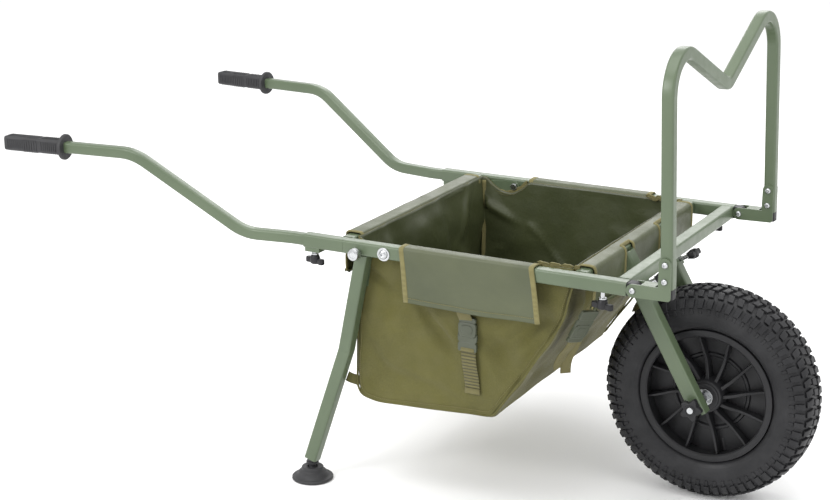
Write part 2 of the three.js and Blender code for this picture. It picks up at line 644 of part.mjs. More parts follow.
for (const [hand, side] of SIDES) {
  const face = RAIL_Y + TUBE / 2 + GAP;
  add(`rail_${hand}`, rail(side), GREEN_PAINT);
  add(`handle_sleeve_${hand}`, handleSleeve(side), GREEN_PAINT);
  add(`hinge_lug_${hand}`, hingeLug(side), BLACK_PLASTIC);
  add(`bar_bracket_${hand}`, barBracket(side), GREEN_PAINT);
  add(`bar_plug_${hand}`, barPlug(side), BLACK_PLASTIC);
  const cheekBolt = (x, z) =>
    crossBolt(side, x, z, BAR_FACE_Y + PLATE + GAP, BAR_INNER_FACE_Y - PLATE - GAP, ...SMALL_HEAD);
  add(`hinge_bolt_${hand}`, cheekBolt(HINGE_X, HINGE_Z), BRIGHT_ZINC);
  BRACKET_BOLTS_Z.forEach((z, i) => {
    add(`bracket_bolt_${hand}_${i + 1}`, cheekBolt(BRACKET_BOLT_X, z), BRIGHT_ZINC);
  });
  add(`handle_tube_${hand}`, handleTube(side), GREEN_PAINT);
  add(`grip_${hand}`, grip(side), BLACK_RUBBER);
  add(`leg_${hand}`, leg(side), GREEN_PAINT);
  add(`leg_ball_${hand}`, legBall(side), BLACK_PLASTIC);
  add(`foot_${hand}`, foot(side), BLACK_RUBBER);
  const hangerFace = LEG_HANGER_Y - PLATE / 2 - GAP;
  add(`leg_bolt_${hand}`, crossBolt(side, ...LEG_PIVOT, face + GAP, hangerFace, ...LARGE_HEAD), BRIGHT_ZINC);
  add(`lock_pin_${hand}`, lockPin(side), BRIGHT_ZINC);
  add(`fork_socket_${hand}`, forkSocket(side), GREEN_PAINT);
  add(`fork_arm_${hand}`, forkArm(side), GREEN_PAINT);

  const handleKnob = add(`handle_knob_${hand}`, wingKnob(15), BLACK_PLASTIC);
  handleKnob.position.set(HANDLE_KNOB_X, side * RAIL_Y, 438.3);
  const railKnob = add(`rail_knob_${hand}`, wingKnob(24), BLACK_PLASTIC);
  railKnob.position.set(RAIL_KNOB_X, side * RAIL_Y, 438);
  const forkKnob = add(`fork_knob_${hand}`, wingKnob(22, 9, 20), BLACK_PLASTIC);
  forkKnob.position.set(...forkAt(side, FORK_KNOB_DOWN, FORK_KNOB_OUT));
  const inwards = new THREE.Vector3(-Math.cos(FORK_RAKE), 0, -Math.sin(FORK_RAKE));
  const across = new THREE.Vector3(0, 1, 0);
  const square = inwards.clone().cross(across);
  forkKnob.quaternion.setFromRotationMatrix(new THREE.Matrix4().makeBasis(across, square, inwards));

  add(`wheel_bearing_${hand}`, bearing(side), BRIGHT_ZINC).position.set(WHEEL_X, 0, WHEEL_RADIUS);
  add(`axle_knob_${hand}`, axleKnob(side), BLACK_PLASTIC).position.set(WHEEL_X, 0, WHEEL_RADIUS);
  add(`side_flap_${hand}`, sideFlap(side), FLAP_CLOTH);
  add(`side_strap_${hand}`, sideStrap(side), WEBBING);
  add(`anchor_strap_${hand}`, anchorStrap(side), WEBBING);
}

const wheel = new THREE.Group();
wheel.position.set(WHEEL_X, 0, WHEEL_RADIUS);
barrow.add(wheel);
add('tyre', tyre(), BLACK_RUBBER, wheel);
add('rim', rim(), BLACK_PLASTIC, wheel);
add('axle', axle(), BRIGHT_ZINC, wheel);
add('valve_stem', valveStem(), BLACK_RUBBER, wheel);

barrow.position.x = ORIGIN_SHIFT;
export default barrow;
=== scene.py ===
import bpy
import bmesh
import json
import math
from mathutils import Matrix, Vector, noise


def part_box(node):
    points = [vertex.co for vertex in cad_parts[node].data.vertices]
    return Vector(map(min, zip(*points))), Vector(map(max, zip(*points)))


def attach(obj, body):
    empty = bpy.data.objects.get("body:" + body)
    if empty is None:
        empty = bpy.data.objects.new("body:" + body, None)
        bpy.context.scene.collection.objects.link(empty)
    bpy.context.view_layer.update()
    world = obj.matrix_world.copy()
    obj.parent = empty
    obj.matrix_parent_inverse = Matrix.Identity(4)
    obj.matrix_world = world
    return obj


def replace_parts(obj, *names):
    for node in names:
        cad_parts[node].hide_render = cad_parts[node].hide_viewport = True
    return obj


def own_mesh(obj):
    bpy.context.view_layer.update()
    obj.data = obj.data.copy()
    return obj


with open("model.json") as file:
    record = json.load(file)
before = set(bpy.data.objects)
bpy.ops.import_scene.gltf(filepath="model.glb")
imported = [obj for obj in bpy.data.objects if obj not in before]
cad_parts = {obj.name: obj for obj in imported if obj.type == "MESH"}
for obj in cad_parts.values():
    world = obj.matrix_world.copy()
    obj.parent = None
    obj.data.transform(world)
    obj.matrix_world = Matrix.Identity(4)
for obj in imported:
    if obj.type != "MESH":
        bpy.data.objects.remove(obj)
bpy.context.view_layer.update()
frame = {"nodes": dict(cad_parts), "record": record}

MM = 0.001
ORIGIN_SHIFT = -4.1  # the finished barrow is moved this far along X; the places below are before that
SIDES = (("right", -1), ("left", 1))
X, Y, Z = Vector((1, 0, 0)), Vector((0, 1, 0)), Vector((0, 0, 1))


def at(x, y, z):
    """A place given in millimetres."""
    return Vector((x + ORIGIN_SHIFT, y, z)) * MM


# ---- camera, light and floor ----
CAMERA_AZIMUTH = math.radians(28.03)
CAMERA_ELEVATION = math.radians(16.39)
CAMERA_DISTANCE = 3.572
CAMERA_TARGET = Vector((-0.0623, 0.0, 0.3821))
CAMERA_LENS = 78.95
SENSOR_WIDTH = 36
WORLD_STRENGTH = 1.03
# Name, place, size and power of each light. All of them aim at the barrow's middle.
LIGHTS = [("overhead", (0.2, -0.4, 3.4), (3.2, 2.6), 62),
          ("key", (-1.4, -3.4, 2.3), (1.4, 1.4), 60),
          ("front_fill", (3.4, -1.2, 1.6), (2.0, 2.4), 16),
          ("back_rim", (-1.0, 3.2, 2.2), (2.4, 1.6), 30)]
LIGHTS_AIM = (0, 0, 0.4)
FLOOR_SIZE = 30
FLOOR_GREY = 0.96


def camera():
    data = bpy.data.cameras.new("camera")
    data.lens = CAMERA_LENS
    data.sensor_width = SENSOR_WIDTH
    data.clip_end = 60
    flat = math.cos(CAMERA_ELEVATION)
    away = Vector((math.sin(CAMERA_AZIMUTH) * flat,
                   -math.cos(CAMERA_AZIMUTH) * flat,
                   math.sin(CAMERA_ELEVATION)))
    obj = bpy.data.objects.new("camera", data)
    obj.location = CAMERA_TARGET + away * CAMERA_DISTANCE
    obj.rotation_euler = away.to_track_quat("Z", "Y").to_euler()
    bpy.context.scene.collection.objects.link(obj)
    bpy.context.scene.camera = obj


def area_light(name, place, size, watts):
    data = bpy.data.lights.new(name, "AREA")
    data.shape = "RECTANGLE"
    data.size, data.size_y = size
    data.energy = watts
    obj = bpy.data.objects.new(name, data)
    obj.location = place
    obj.rotation_euler = (Vector(place) - Vector(LIGHTS_AIM)).to_track_quat("Z", "Y").to_euler()
    bpy.context.scene.collection.objects.link(obj)


def studio():
    world = bpy.data.worlds.new("studio")
    world.use_nodes = True
    background = world.node_tree.nodes["Background"]
    background.inputs["Color"].default_value = (1, 1, 1, 1)
    background.inputs["Strength"].default_value = WORLD_STRENGTH
    bpy.context.scene.world = world
    bpy.context.scene.view_settings.view_transform = "Standard"
    for light in LIGHTS:
        area_light(*light)


def floor():
    bpy.ops.mesh.primitive_plane_add(size=FLOOR_SIZE, location=(0, 0, -0.0006))
    obj = bpy.context.object
    obj.name = "floor"
    paper = bpy.data.materials.new("floor_paper")
    paper.use_nodes = True
    shader = paper.node_tree.nodes["Principled BSDF"]
    shader.inputs["Base Color"].default_value = (FLOOR_GREY, FLOOR_GREY, FLOOR_GREY, 1)
    shader.inputs["Roughness"].default_value = 0.9
    obj.data.materials.append(paper)


# ---- material kit ----
class Nodes:
    """A material's node tree, built one node at a time."""

    def __init__(self, name, slot, base, roughness, metallic=0.0, **sockets):
        self.material = bpy.data.materials.new(name)
        self.material.use_nodes = True
        self.tree = self.material.node_tree
        self.shader = self.tree.nodes["Principled BSDF"]
        self.slot = slot
        self.set("Base Color", (*base, 1))
        self.set("Roughness", roughness)
        self.set("Metallic", metallic)
        for socket, value in sockets.items():
            self.set(socket.replace("_", " "), value)
        self.coordinates = self.add("ShaderNodeTexCoord").outputs["Object"]
        self.normal = None

    def set(self, socket, value):
        self.shader.inputs[socket].default_value = value

    def add(self, kind, **inputs):
        node = self.tree.nodes.new(kind)
        for name, value in inputs.items():
            self.feed(node.inputs[name.replace("_", " ")], value)
        return node

    def feed(self, socket, value):
        if isinstance(value, bpy.types.NodeSocket):
            self.tree.links.new(value, socket)
        else:
            socket.default_value = value

    def math(self, operation, a, b):
        node = self.tree.nodes.new("ShaderNodeMath")
        node.operation = operation
        self.feed(node.inputs[0], a)
        self.feed(node.inputs[1], b)
        return node.outputs[0]

    def noise(self, scale, detail=4.0, roughness=0.5):
        node = self.add("ShaderNodeTexNoise", Vector=self.coordinates, Scale=scale, Detail=detail,
                        Roughness=roughness)
        return node.outputs["Fac"]

    def ramp(self, value, low, high, out_low=0.0, out_high=1.0):
        node = self.add("ShaderNodeMapRange", Value=value)
        node.inputs["From Min"].default_value = low
        node.inputs["From Max"].default_value = high
        node.inputs["To Min"].default_value = out_low
        node.inputs["To Max"].default_value = out_high
        return node.outputs["Result"]

    def patches(self, scale, low=0.0, high=1.0, detail=4.0, roughness=0.5):
        """Soft patches between two values."""
        return self.ramp(self.noise(scale, detail, roughness), 0.3, 0.7, low, high)

    def blend(self, factor, a, b):
        node = self.tree.nodes.new("ShaderNodeMix")
        node.data_type = "RGBA"
        self.feed(node.inputs["Factor"], factor)
        self.feed(node.inputs["A"], a if isinstance(a, bpy.types.NodeSocket) else (*a, 1))
        self.feed(node.inputs["B"], b if isinstance(b, bpy.types.NodeSocket) else (*b, 1))
        return node.outputs["Result"]

    def bump(self, height, depth, strength):
        node = self.add("ShaderNodeBump", Height=height, Distance=depth, Strength=strength)
        if self.normal is not None:
            self.feed(node.inputs["Normal"], self.normal)
        self.normal = node.outputs["Normal"]

    def finish(self, color, roughness):
        self.feed(self.shader.inputs["Base Color"], color)
        self.feed(self.shader.inputs["Roughness"], roughness)
        self.feed(self.shader.inputs["Normal"], self.normal)
        self.material["slot"] = self.slot
        return self.material


def green_paint():
    kit = Nodes("green_powder_coat", "green_paint", (0.11, 0.148, 0.088), 0.4,
                Coat_Weight=0.2, Coat_Roughness=0.25)
    color = kit.blend(kit.patches(7.0, detail=3.0), (0.074, 0.104, 0.056), (0.094, 0.127, 0.072))
    kit.bump(kit.noise(420.0, 2.0), 0.00012, 0.5)
    return kit.finish(color, kit.patches(60.0, 0.34, 0.46))


def grained(kit, mottling, tones, grain, gloss):
    """Fine grain over two mottled tones. grain is scale, detail, depth and strength of the bump."""
    color = kit.blend(kit.noise(mottling), *tones)
    scale, detail, depth, strength = grain
    kit.bump(kit.noise(scale, detail), depth, strength)
    return kit.finish(color, kit.patches(*gloss))


def bright_zinc():
    kit = Nodes("bright_zinc", "bright_zinc", (0.5, 0.51, 0.52), 0.24, 1.0)
    return grained(kit, 180.0, ((0.4, 0.41, 0.42), (0.58, 0.59, 0.6)), (900.0, 2.0, 0.00005, 0.4),
                   (90.0, 0.18, 0.34))


def black_plastic():
    kit = Nodes("black_plastic", "black_plastic", (0.014, 0.014, 0.015), 0.45, Specular_IOR_Level=0.3)
    return grained(kit, 40.0, ((0.011, 0.011, 0.012), (0.021, 0.021, 0.023)), (1300.0, 2.0, 0.0001, 0.6),
                   (25.0, 0.36, 0.52))


def black_rubber():
    kit = Nodes("black_rubber", "black_rubber", (0.022, 0.022, 0.024), 0.62)
    return grained(kit, 55.0, ((0.017, 0.017, 0.018), (0.03, 0.03, 0.033)), (900.0, 3.0, 0.00016, 0.7),
                   (30.0, 0.5, 0.72))


def buckle_plastic():
    kit = Nodes("buckle_plastic", "webbing", (0.1, 0.112, 0.08), 0.42)
    return grained(kit, 60.0, ((0.05, 0.058, 0.036), (0.07, 0.08, 0.052)), (900.0, 2.0, 0.00008, 0.5),
                   (40.0, 0.36, 0.5))


def tyre_rubber():
    kit = Nodes("tyre_rubber", "tyre_rubber", (0.026, 0.026, 0.027), 0.5, Specular_IOR_Level=0.3)
    dust = kit.ramp(kit.noise(14.0, 6.0, 0.65), 0.42, 0.72)
    color = kit.blend(dust, (0.012, 0.012, 0.0135), (0.026, 0.026, 0.028))
    kit.bump(kit.noise(700.0, 3.0), 0.00022, 0.6)
    return kit.finish(color, kit.patches(20.0, 0.38, 0.58))


# ---- mesh kit ----
MERGE_CAD = 0.00002  # points of a CAD mesh closer than this are one
FLAT_WITHIN = math.radians(0.6)  # faces of a CAD mesh that bend less than this are one
MERGE_TURNED = 0.000005
DEGENERATE = 0.000002
MERGE_CLOTH = 0.00001


def mesh_object(name, points, faces, material, body, flat=False):
    mesh = bpy.data.meshes.new(name)
    mesh.from_pydata([tuple(p) for p in points], [], faces)
    mesh.validate()
    obj = bpy.data.objects.new(name, mesh)
    bpy.context.scene.collection.objects.link(obj)
    return dress(obj, material, body, flat)


def reshape(mesh, work):
    """Runs work(shape) on a mesh as a bmesh."""
    shape = bmesh.new()
    shape.from_mesh(mesh)
    work(shape)
    shape.to_mesh(mesh)
    shape.free()


def dress(obj, material, body, flat=False):
    obj.data.materials.clear()
    obj.data.materials.append(material)
    for polygon in obj.data.polygons:
        polygon.use_smooth = not flat
    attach(obj, body)
    return obj


def modifier(obj, kind, **settings):
    found = obj.modifiers.new(kind.lower(), kind)
    for key, value in settings.items():
        setattr(found, key, value)
    return found


def apply_modifiers(obj):
    graph = bpy.context.evaluated_depsgraph_get()
    mesh = bpy.data.meshes.new_from_object(obj.evaluated_get(graph))
    obj.modifiers.clear()
    obj.data = mesh
    return obj


def sharpen(obj, degrees=40):
    obj.data.shade_smooth()
    obj.data.set_sharp_from_angle(angle=math.radians(degrees))
    modifier(obj, "WEIGHTED_NORMAL", keep_sharp=True)
    return obj


def round_edges(obj, width, segments=2, degrees=35):
    modifier(obj, "BEVEL", width=width, segments=segments, limit_method="ANGLE",
             angle_limit=math.radians(degrees))
    return obj


def body_of_node(node):
    return next(b for b, members in frame["record"]["behaviour"]["bodies"].items() if node in members)


def middle(node):
    low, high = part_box(node)
    return (low + high) / 2


def merge_flat_faces(shape):
    bmesh.ops.remove_doubles(shape, verts=shape.verts, dist=MERGE_CAD)
    bmesh.ops.dissolve_limit(shape, angle_limit=FLAT_WITHIN, verts=shape.verts, edges=shape.edges)


def polished(node, material, bevel=0.0, degrees=50):
    """A clean, smooth-shaded copy of a CAD node's mesh that stands for it."""
    source = frame["nodes"][node].data.copy()
    reshape(source, merge_flat_faces)
    source.name = node + "_finish"
    for layer in list(source.attributes):
        if layer.name.startswith("custom_normal"):
            source.attributes.remove(layer)
    obj = bpy.data.objects.new(node + "_finish", source)
    bpy.context.scene.collection.objects.link(obj)
    dress(obj, material, body_of_node(node))
    if bevel:
        round_edges(obj, bevel, 2, degrees)
    sharpen(obj, degrees)
    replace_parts(obj, node)
    return obj


def grid_faces(rows, columns, wrap_rows=False, wrap_columns=False):
    """Quads of a rows x columns grid of points, joined round where asked."""
    last_row = rows if wrap_rows else rows - 1
    last_column = columns if wrap_columns else columns - 1
    return [(r * columns + c, r * columns + (c + 1) % columns,
             (r + 1) % rows * columns + (c + 1) % columns, (r + 1) % rows * columns + c)
            for r in range(last_row) for c in range(last_column)]


def basis(axis):
    """Two directions square to an axis."""
    axis = axis.normalized()
    first = axis.orthogonal().normalized()
    return first, axis.cross(first)


def turned(name, profile, centre, axis, material, body, segments=48, wobble=None):
    """A closed profile of (radius, height) turned about an axis. wobble(angle, index) adds to the radius."""
    first, second = basis(axis)
    points = []
    for s in range(segments):
        angle = 2 * math.pi * s / segments
        out = first * math.cos(angle) + second * math.sin(angle)
        for i, (radius, height) in enumerate(profile):
            extra = wobble(angle, i) if wobble else 0.0
            points.append(centre + out * (radius + extra) + axis.normalized() * height)
    faces = grid_faces(segments, len(profile), True, True)
    return clean(mesh_object(name, points, faces, material, body))


def tidy_faces(shape):
    bmesh.ops.remove_doubles(shape, verts=shape.verts, dist=MERGE_TURNED)
    bmesh.ops.dissolve_degenerate(shape, edges=shape.edges, dist=DEGENERATE)
    bmesh.ops.recalc_face_normals(shape, faces=shape.faces)


def clean(obj):
    """Merges doubled points, drops flat faces and turns every face outwards."""
    reshape(obj.data, tidy_faces)
    return obj


def extruded(name, outline, low, high, place, material, body, bevel=0.0, segments=3):
    """An outline of (x, y) extruded from low to high along z, then put in place by a matrix."""
    count = len(outline)
    points = [place @ Vector((x, y, h)) for h in (low, high) for x, y in outline]
    faces = [tuple(reversed(range(count))), tuple(range(count, 2 * count))]
    faces += [(i, (i + 1) % count, count + (i + 1) % count, count + i) for i in range(count)]
    obj = clean(mesh_object(name, points, faces, material, body))
    if bevel:
        round_edges(obj, bevel, segments, 25)
    return sharpen(obj, 45)


def place_at(point, z_axis, x_axis=None):
    """Matrix that puts a local frame at a point, with its z and x axes along given directions."""
    z_axis = z_axis.normalized()
    x_axis = (x_axis or z_axis.orthogonal()).normalized()
    y_axis = z_axis.cross(x_axis).normalized()
    x_axis = y_axis.cross(z_axis)
    turn = Matrix((x_axis, y_axis, z_axis)).transposed().to_4x4()
    return Matrix.Translation(point) @ turn


def arc(centre, radius, start, end, steps):
    """Points (x, y) along an arc, in degrees."""
    angles = [math.radians(start + (end - start) * i / steps) for i in range(steps + 1)]
    return [(centre[0] + radius * math.cos(a), centre[1] + radius * math.sin(a)) for a in angles]


def smoothstep(low, high, value):
    t = min(max((value - low) / (high - low), 0.0), 1.0)
    return t * t * (3 - 2 * t)


def along(stops, place):
    """Value at a place on a line given by (place, value) stops in rising order."""
    for (a, low), (b, high) in zip(stops, stops[1:]):
        if place <= b:
            return low + (high - low) * max(place - a, 0) / (b - a)
    return stops[-1][1]


def smooth_path(points, steps=6):
    """More points on a smooth curve through the given ones."""
    points = [Vector(p) for p in points]
    line = []
    for i in range(len(points) - 1):
        before, a, b = points[max(i - 1, 0)], points[i], points[i + 1]
        after = points[min(i + 2, len(points) - 1)]
        for k in range(steps):
            t = k / steps
            line.append(0.5 * (2 * a + (b - before) * t + (2 * before - 5 * a + 4 * b - after) * t * t
                               + (3 * a - before - 3 * b + after) * t ** 3))
    return line + [points[-1]]


def sweep(name, path, normals, section, material, body, closed_path=False):
    """A section of (across, up) carried along a path. Up follows the normal, or one normal per point."""
    path = [Vector(p) for p in path]
    if isinstance(normals, Vector):
        normals = [normals] * len(path)
    count = len(path)
    points = []
    for i, (place, normal) in enumerate(zip(path, normals)):
        before = path[i - 1] if closed_path or i else path[i]
        after = path[(i + 1) % count] if closed_path or i < count - 1 else path[i]
        ahead = (after - before).normalized()
        across = ahead.cross(normal).normalized()
        up = across.cross(ahead)
        points += [place + across * a * MM + up * u * MM for a, u in section]
    width = len(section)
    faces = grid_faces(count, width, closed_path, True)
    if not closed_path:
        faces += [tuple(reversed(range(width))), tuple(range((count - 1) * width, count * width))]
    return clean(mesh_object(name, points, faces, material, body))


def oval(width, height, count=10):
    return [(width / 2 * math.cos(2 * math.pi * i / count), height / 2 * math.sin(2 * math.pi * i / count))
            for i in range(count)]


def tape(width, thickness):
    """Flat section with rounded edges."""
    half, flat = thickness / 2, width / 2 - thickness / 2
    return [(flat, -half), (flat + half, 0), (flat, half), (0, half), (-flat, half), (-flat - half, 0),
            (-flat, -half), (0, -half)]


def joined(name, pieces):
    """One object from several that have the same body and finish."""
    target = bmesh.new()
    for piece in pieces:
        target.from_mesh(apply_modifiers(piece).data)
    target.to_mesh(pieces[0].data)
    target.free()
    for piece in pieces[1:]:
        bpy.data.objects.remove(piece)
    pieces[0].name = name
    pieces[0].data.name = name
    return pieces[0]


# ---- painted frame ----
def painted_frame():
    for node in ("rear_cross_tube", "inner_cross_tube", "front_cross_tube", "load_bar"):
        polished(node, PAINT)
    for hand, _ in SIDES:
        for part in ("rail", "handle_sleeve", "handle_tube", "leg", "fork_socket", "fork_arm"):
            polished(f"{part}_{hand}", PAINT)
        polished(f"bar_bracket_{hand}", PAINT, 0.0007, 30)
        polished(f"hinge_lug_{hand}", PLASTIC, 0.0008, 30)
        polished(f"bar_plug_{hand}", PLASTIC, 0.0006, 30)
        polished(f"leg_ball_{hand}", PLASTIC, 0.0008, 30)
        polished(f"wheel_bearing_{hand}", ZINC, 0.0006, 30)
    polished("axle", ZINC, 0.0006, 30)
    polished("valve_stem", RUBBER, 0.0008, 30)


# ---- bolts, pins and knobs ----
HEX_RECESS_FROM = 5  # index of the first profile point that lies on the hexagon
SMALL_HEAD, LARGE_HEAD = (5.6, 4), (8.8, 4.4)  # radius and height of a button head
ON_AXIS = 0.0001  # radius of a turned shape's ends that are as good as closed
SHANK_RADIUS = 0.0039
RAIL_Y = 278.5
CHEEK_FACES = (293.0, 264.0)  # outer and inner cheek that the hinge and bracket bolts sit on
RAIL_FACE = 291.4


def hexagon(radius):
    """How much a hexagonal socket of this radius differs from a round one, at an angle."""
    sector = math.pi / 3

    def extra(angle, index):
        if index < HEX_RECESS_FROM:
            return 0.0
        return radius * (math.cos(sector / 2) / math.cos(angle % sector - sector / 2) - 1)
    return extra


def button_head(name, base, axis, radius, height, body):
    """Domed screw head with a hexagonal socket, standing on its base point."""
    r, h = radius * MM, height * MM
    key = 0.42 * r
    profile = [(0.6 * r, 0), (r, 0), (r, 0.25 * h), (0.86 * r, 0.72 * h), (0.6 * r, h),
               (key, h), (key, 0.45 * h), (key * 0.02, 0.4 * h), (key * 0.02, 0)]
    return sharpen(turned(name, profile, base, axis, ZINC, body, 48, hexagon(key)), 35)


def washer(name, base, axis, outer, thickness, body, material):
    r, t, edge = outer * MM, thickness * MM, 0.35 * MM
    profile = [(0.3 * r, 0), (r - edge, 0), (r, edge), (r, t - edge), (r - edge, t), (0.3 * r, t)]
    return sharpen(turned(name, profile, base, axis, material, body, 40), 35)


def hex_nut(name, base, axis, across, height, body):
    corners = [math.pi / 3 * i for i in range(6)]
    radius = across / 2
    points = [(radius * math.cos(a) * MM, radius * math.sin(a) * MM) for a in corners]
    return extruded(name, points, 0, height * MM, place_at(base, axis), ZINC, body, 0.4 * MM, 2)


def shank(name, base, axis, length, body):
    profile = [(ON_AXIS, 0), (SHANK_RADIUS, 0), (SHANK_RADIUS, length), (ON_AXIS, length)]
    return turned(name, profile, base, axis, ZINC, body, 20)


def beside(node, side, distances):
    """Places at a node's own x and height, at distances from the barrow's middle."""
    place = middle(node)
    return [Vector((place.x, side * y * MM, place.z)) for y in distances]


def cheek_bolts():
    """Hinge and bracket bolts: a socket head on the outer cheek and a second one on the inner cheek."""
    for hand, side in SIDES:
        for node in (f"hinge_bolt_{hand}", f"bracket_bolt_{hand}_1", f"bracket_bolt_{hand}_2"):
            body = body_of_node(node)
            outer, inner = beside(node, side, CHEEK_FACES)
            heads = [button_head(f"{node}_head", outer, Y * side, *SMALL_HEAD, body),
                     button_head(f"{node}_back", inner, Y * -side, *SMALL_HEAD, body),
                     shank(f"{node}_shank", inner, Y * side, 0.029, body)]
            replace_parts(joined(f"{node}_finish", heads), node)


def leg_bolts():
    for hand, side in SIDES:
        node = f"leg_bolt_{hand}"
        body = body_of_node(node)
        outer, inner = beside(node, side, (RAIL_FACE, 262.2))
        ring = washer(f"{node}_washer", outer, Y * side, 12.4, 1.6, body, ZINC)
        head = button_head(f"{node}_head", outer + Y * side * 1.4 * MM, Y * side, *LARGE_HEAD, body)
        nut = hex_nut(f"{node}_nut", inner, Y * -side, 15, 5.5, body)
        rod = shank(f"{node}_shank", inner, Y * side, 0.0295, body)
        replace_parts(joined(f"{node}_finish", [ring, head, nut, rod]), node)


def lock_pins():
    """Pull pins with a fluted, chamfered head."""
    flutes, depth = 30, 0.35 * MM
    barrel = (3, 4)
    profile = [(ON_AXIS, -0.0285), (SHANK_RADIUS, -0.0285), (SHANK_RADIUS, -0.001), (0.0103, 0.0065),
               (0.0108, 0.0075), (0.0108, 0.0182), (0.0100, 0.0198), (0.0062, 0.0206), (0.0058, 0.0198),
               (ON_AXIS, 0.0198)]
    for hand, side in SIDES:
        node = f"lock_pin_{hand}"
        body = body_of_node(node)
        base, = beside(node, side, (RAIL_FACE,))

        def flute(angle, index):
            return depth * math.cos(flutes * angle) if index - 1 in barrel else 0.0
        pin = turned(f"{node}_pin", profile, base, Y * side, ZINC, body, 120, flute)
        sleeve = washer(f"{node}_collar", base, Y * side, 7.4, 7.0, body, ZINC)
        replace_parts(joined(f"{node}_finish", [sharpen(pin, 40), sleeve]), node)


def wing_outline(reach, hub):
    """Two rounded wings that widen away from the hub."""
    wing = arc((reach - 5.5, 0), 6.5, -70, 70, 8)
    other = [(-x, -y) for x, y in wing]
    return [(x * MM, y * MM) for x, y in [(hub * 0.8, -4.2), *wing, (hub * 0.8, 4.2), (-hub * 0.8, 4.2),
                                          *other, (-hub * 0.8, -4.2)]]


def wing_knob(node, seat, inwards, across, reach, screw):
    """Clamp screw with a two-winged grip. seat is where the hub's inner face lies."""
    body = body_of_node(node)
    outwards = -inwards
    place = place_at(seat, outwards, across)
    hub = [(ON_AXIS, 0), (0.0055, 0), (0.0075, 0.0015), (0.0092, 0.0065), (0.0095, 0.0125), (0.0085, 0.0165),
           (0.0065, 0.0175), (ON_AXIS, 0.0175)]
    wings = extruded(f"{node}_wings", wing_outline(reach, 9), 0.0068, 0.0172, place, PLASTIC, body, 0.0022)
    parts = [sharpen(turned(f"{node}_hub", hub, seat, outwards, PLASTIC, body, 36), 50), wings]
    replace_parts(joined(f"{node}_grip", parts), node)
    line = [(ON_AXIS, -0.003), (0.0040, -0.003), (0.0040, screw * MM - 0.001), (0.0032, screw * MM),
            (ON_AXIS, screw * MM)]
    rod = turned(f"{node}_screw_rod", line, seat, inwards, ZINC, body, 24)
    collar = washer(f"{node}_screw_collar", seat, inwards, 7.0, 2.6, body, ZINC)
    joined(f"{node}_screw", [sharpen(rod, 40), collar])


FORK_TOP = (417, 452)
WHEEL_X, WHEEL_Z = 560.5, 200
FORK_RAKE = math.atan2(WHEEL_X - FORK_TOP[0], FORK_TOP[1] - WHEEL_Z)
FORK_Y = 84
WHEEL = at(WHEEL_X, 0, WHEEL_Z)
KNOB_TURN = 16  # degrees that the wings under the rails are turned by


def on_fork(side, down, out):
    sine, cosine = math.sin(FORK_RAKE), math.cos(FORK_RAKE)
    x = FORK_TOP[0] + down * sine + out * cosine
    return at(x, side * FORK_Y, FORK_TOP[1] - down * cosine + out * sine)


def wing_knobs():
    forwards = Vector((math.cos(FORK_RAKE), 0, math.sin(FORK_RAKE)))
    for hand, side in SIDES:
        turn = Matrix.Rotation(math.radians(KNOB_TURN * side), 3, "Z")
        wing_knob(f"handle_knob_{hand}", at(-118, side * RAIL_Y, 438.3), Z, turn @ X, 21, 14)
        wing_knob(f"rail_knob_{hand}", at(451, side * RAIL_Y, 438), Z, turn @ X, 21, 23)
        wing_knob(f"fork_knob_{hand}", on_fork(side, 54, 37), -forwards, Y, 19, 21)


def star_knobs():
    """Five-lobed clamp knobs on the axle's ends, with a sunk cap over the nut."""
    lobes, steps = 5, 90
    outline = []
    for i in range(steps):
        angle = 2 * math.pi * i / steps
        radius = (17.2 + 3.6 * math.cos(lobes * angle)) * MM
        outline.append((radius * math.cos(angle), radius * math.sin(angle)))
    for hand, side in SIDES:
        node = f"axle_knob_{hand}"
        body = body_of_node(node)
        place = place_at(WHEEL, Y * side, X)
        star = extruded(f"{node}_star", outline, 0.1068, 0.1205, place, PLASTIC, body, 0.0028, 4)
        boss = [(0.0064, 0.0993), (0.0115, 0.0993), (0.0125, 0.1075), (0.0064, 0.1075)]
        cap = [(0.0064, 0.1200), (0.0100, 0.1200), (0.0096, 0.1218), (0.0078, 0.1218), (0.0072, 0.1206),
               (0.0064, 0.1206)]
        parts = [star, sharpen(turned(f"{node}_boss", boss, WHEEL, Y * side, PLASTIC, body, 36), 40),
                 sharpen(turned(f"{node}_cap", cap, WHEEL, Y * side, PLASTIC, body, 36), 40)]
        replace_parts(joined(f"{node}_finish", parts), node)


# ---- feet and grips ----
FOOT_X, FOOT_Y = -121, 295


def feet():
    profile = [(ON_AXIS, 0), (0.0375, 0), (0.039, 0.0012), (0.0390, 0.0042), (0.0372, 0.0056),
               (0.0340, 0.0054), (0.0305, 0.0072), (0.0272, 0.0108), (0.0262, 0.0146), (0.0225, 0.0166),
               (0.0210, 0.0180), (0.0206, 0.0230), (0.0190, 0.0244), (0.0120, 0.0244), (0.0098, 0.0232),
               (0.0098, 0.018), (ON_AXIS, 0.0082)]
    for hand, side in SIDES:
        node = f"foot_{hand}"
        obj = turned(f"{node}_pad", profile, at(FOOT_X, side * FOOT_Y, 0), Z, RUBBER, body_of_node(node), 64)
        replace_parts(sharpen(obj, 38), node)


HANDLE_KNEE = (-472, 341, 602)
HANDLE_END = (-747, 367.3, 600)
GRIP_LENGTH, GRIP_CORE = 133, 28
GRIP_END = 5.3  # the closed end stands this far off the tube's end
RIB_LENGTH, RIB_HALF = 17, 1.1


def rounded_square(size, corner, steps=4):
    half = size / 2 - corner
    points = []
    for x, y, start in ((half, half, 0), (-half, half, 90), (-half, -half, 180), (half, -half, 270)):
        points += arc((x, y), corner, start, start + 90, steps)
    return points


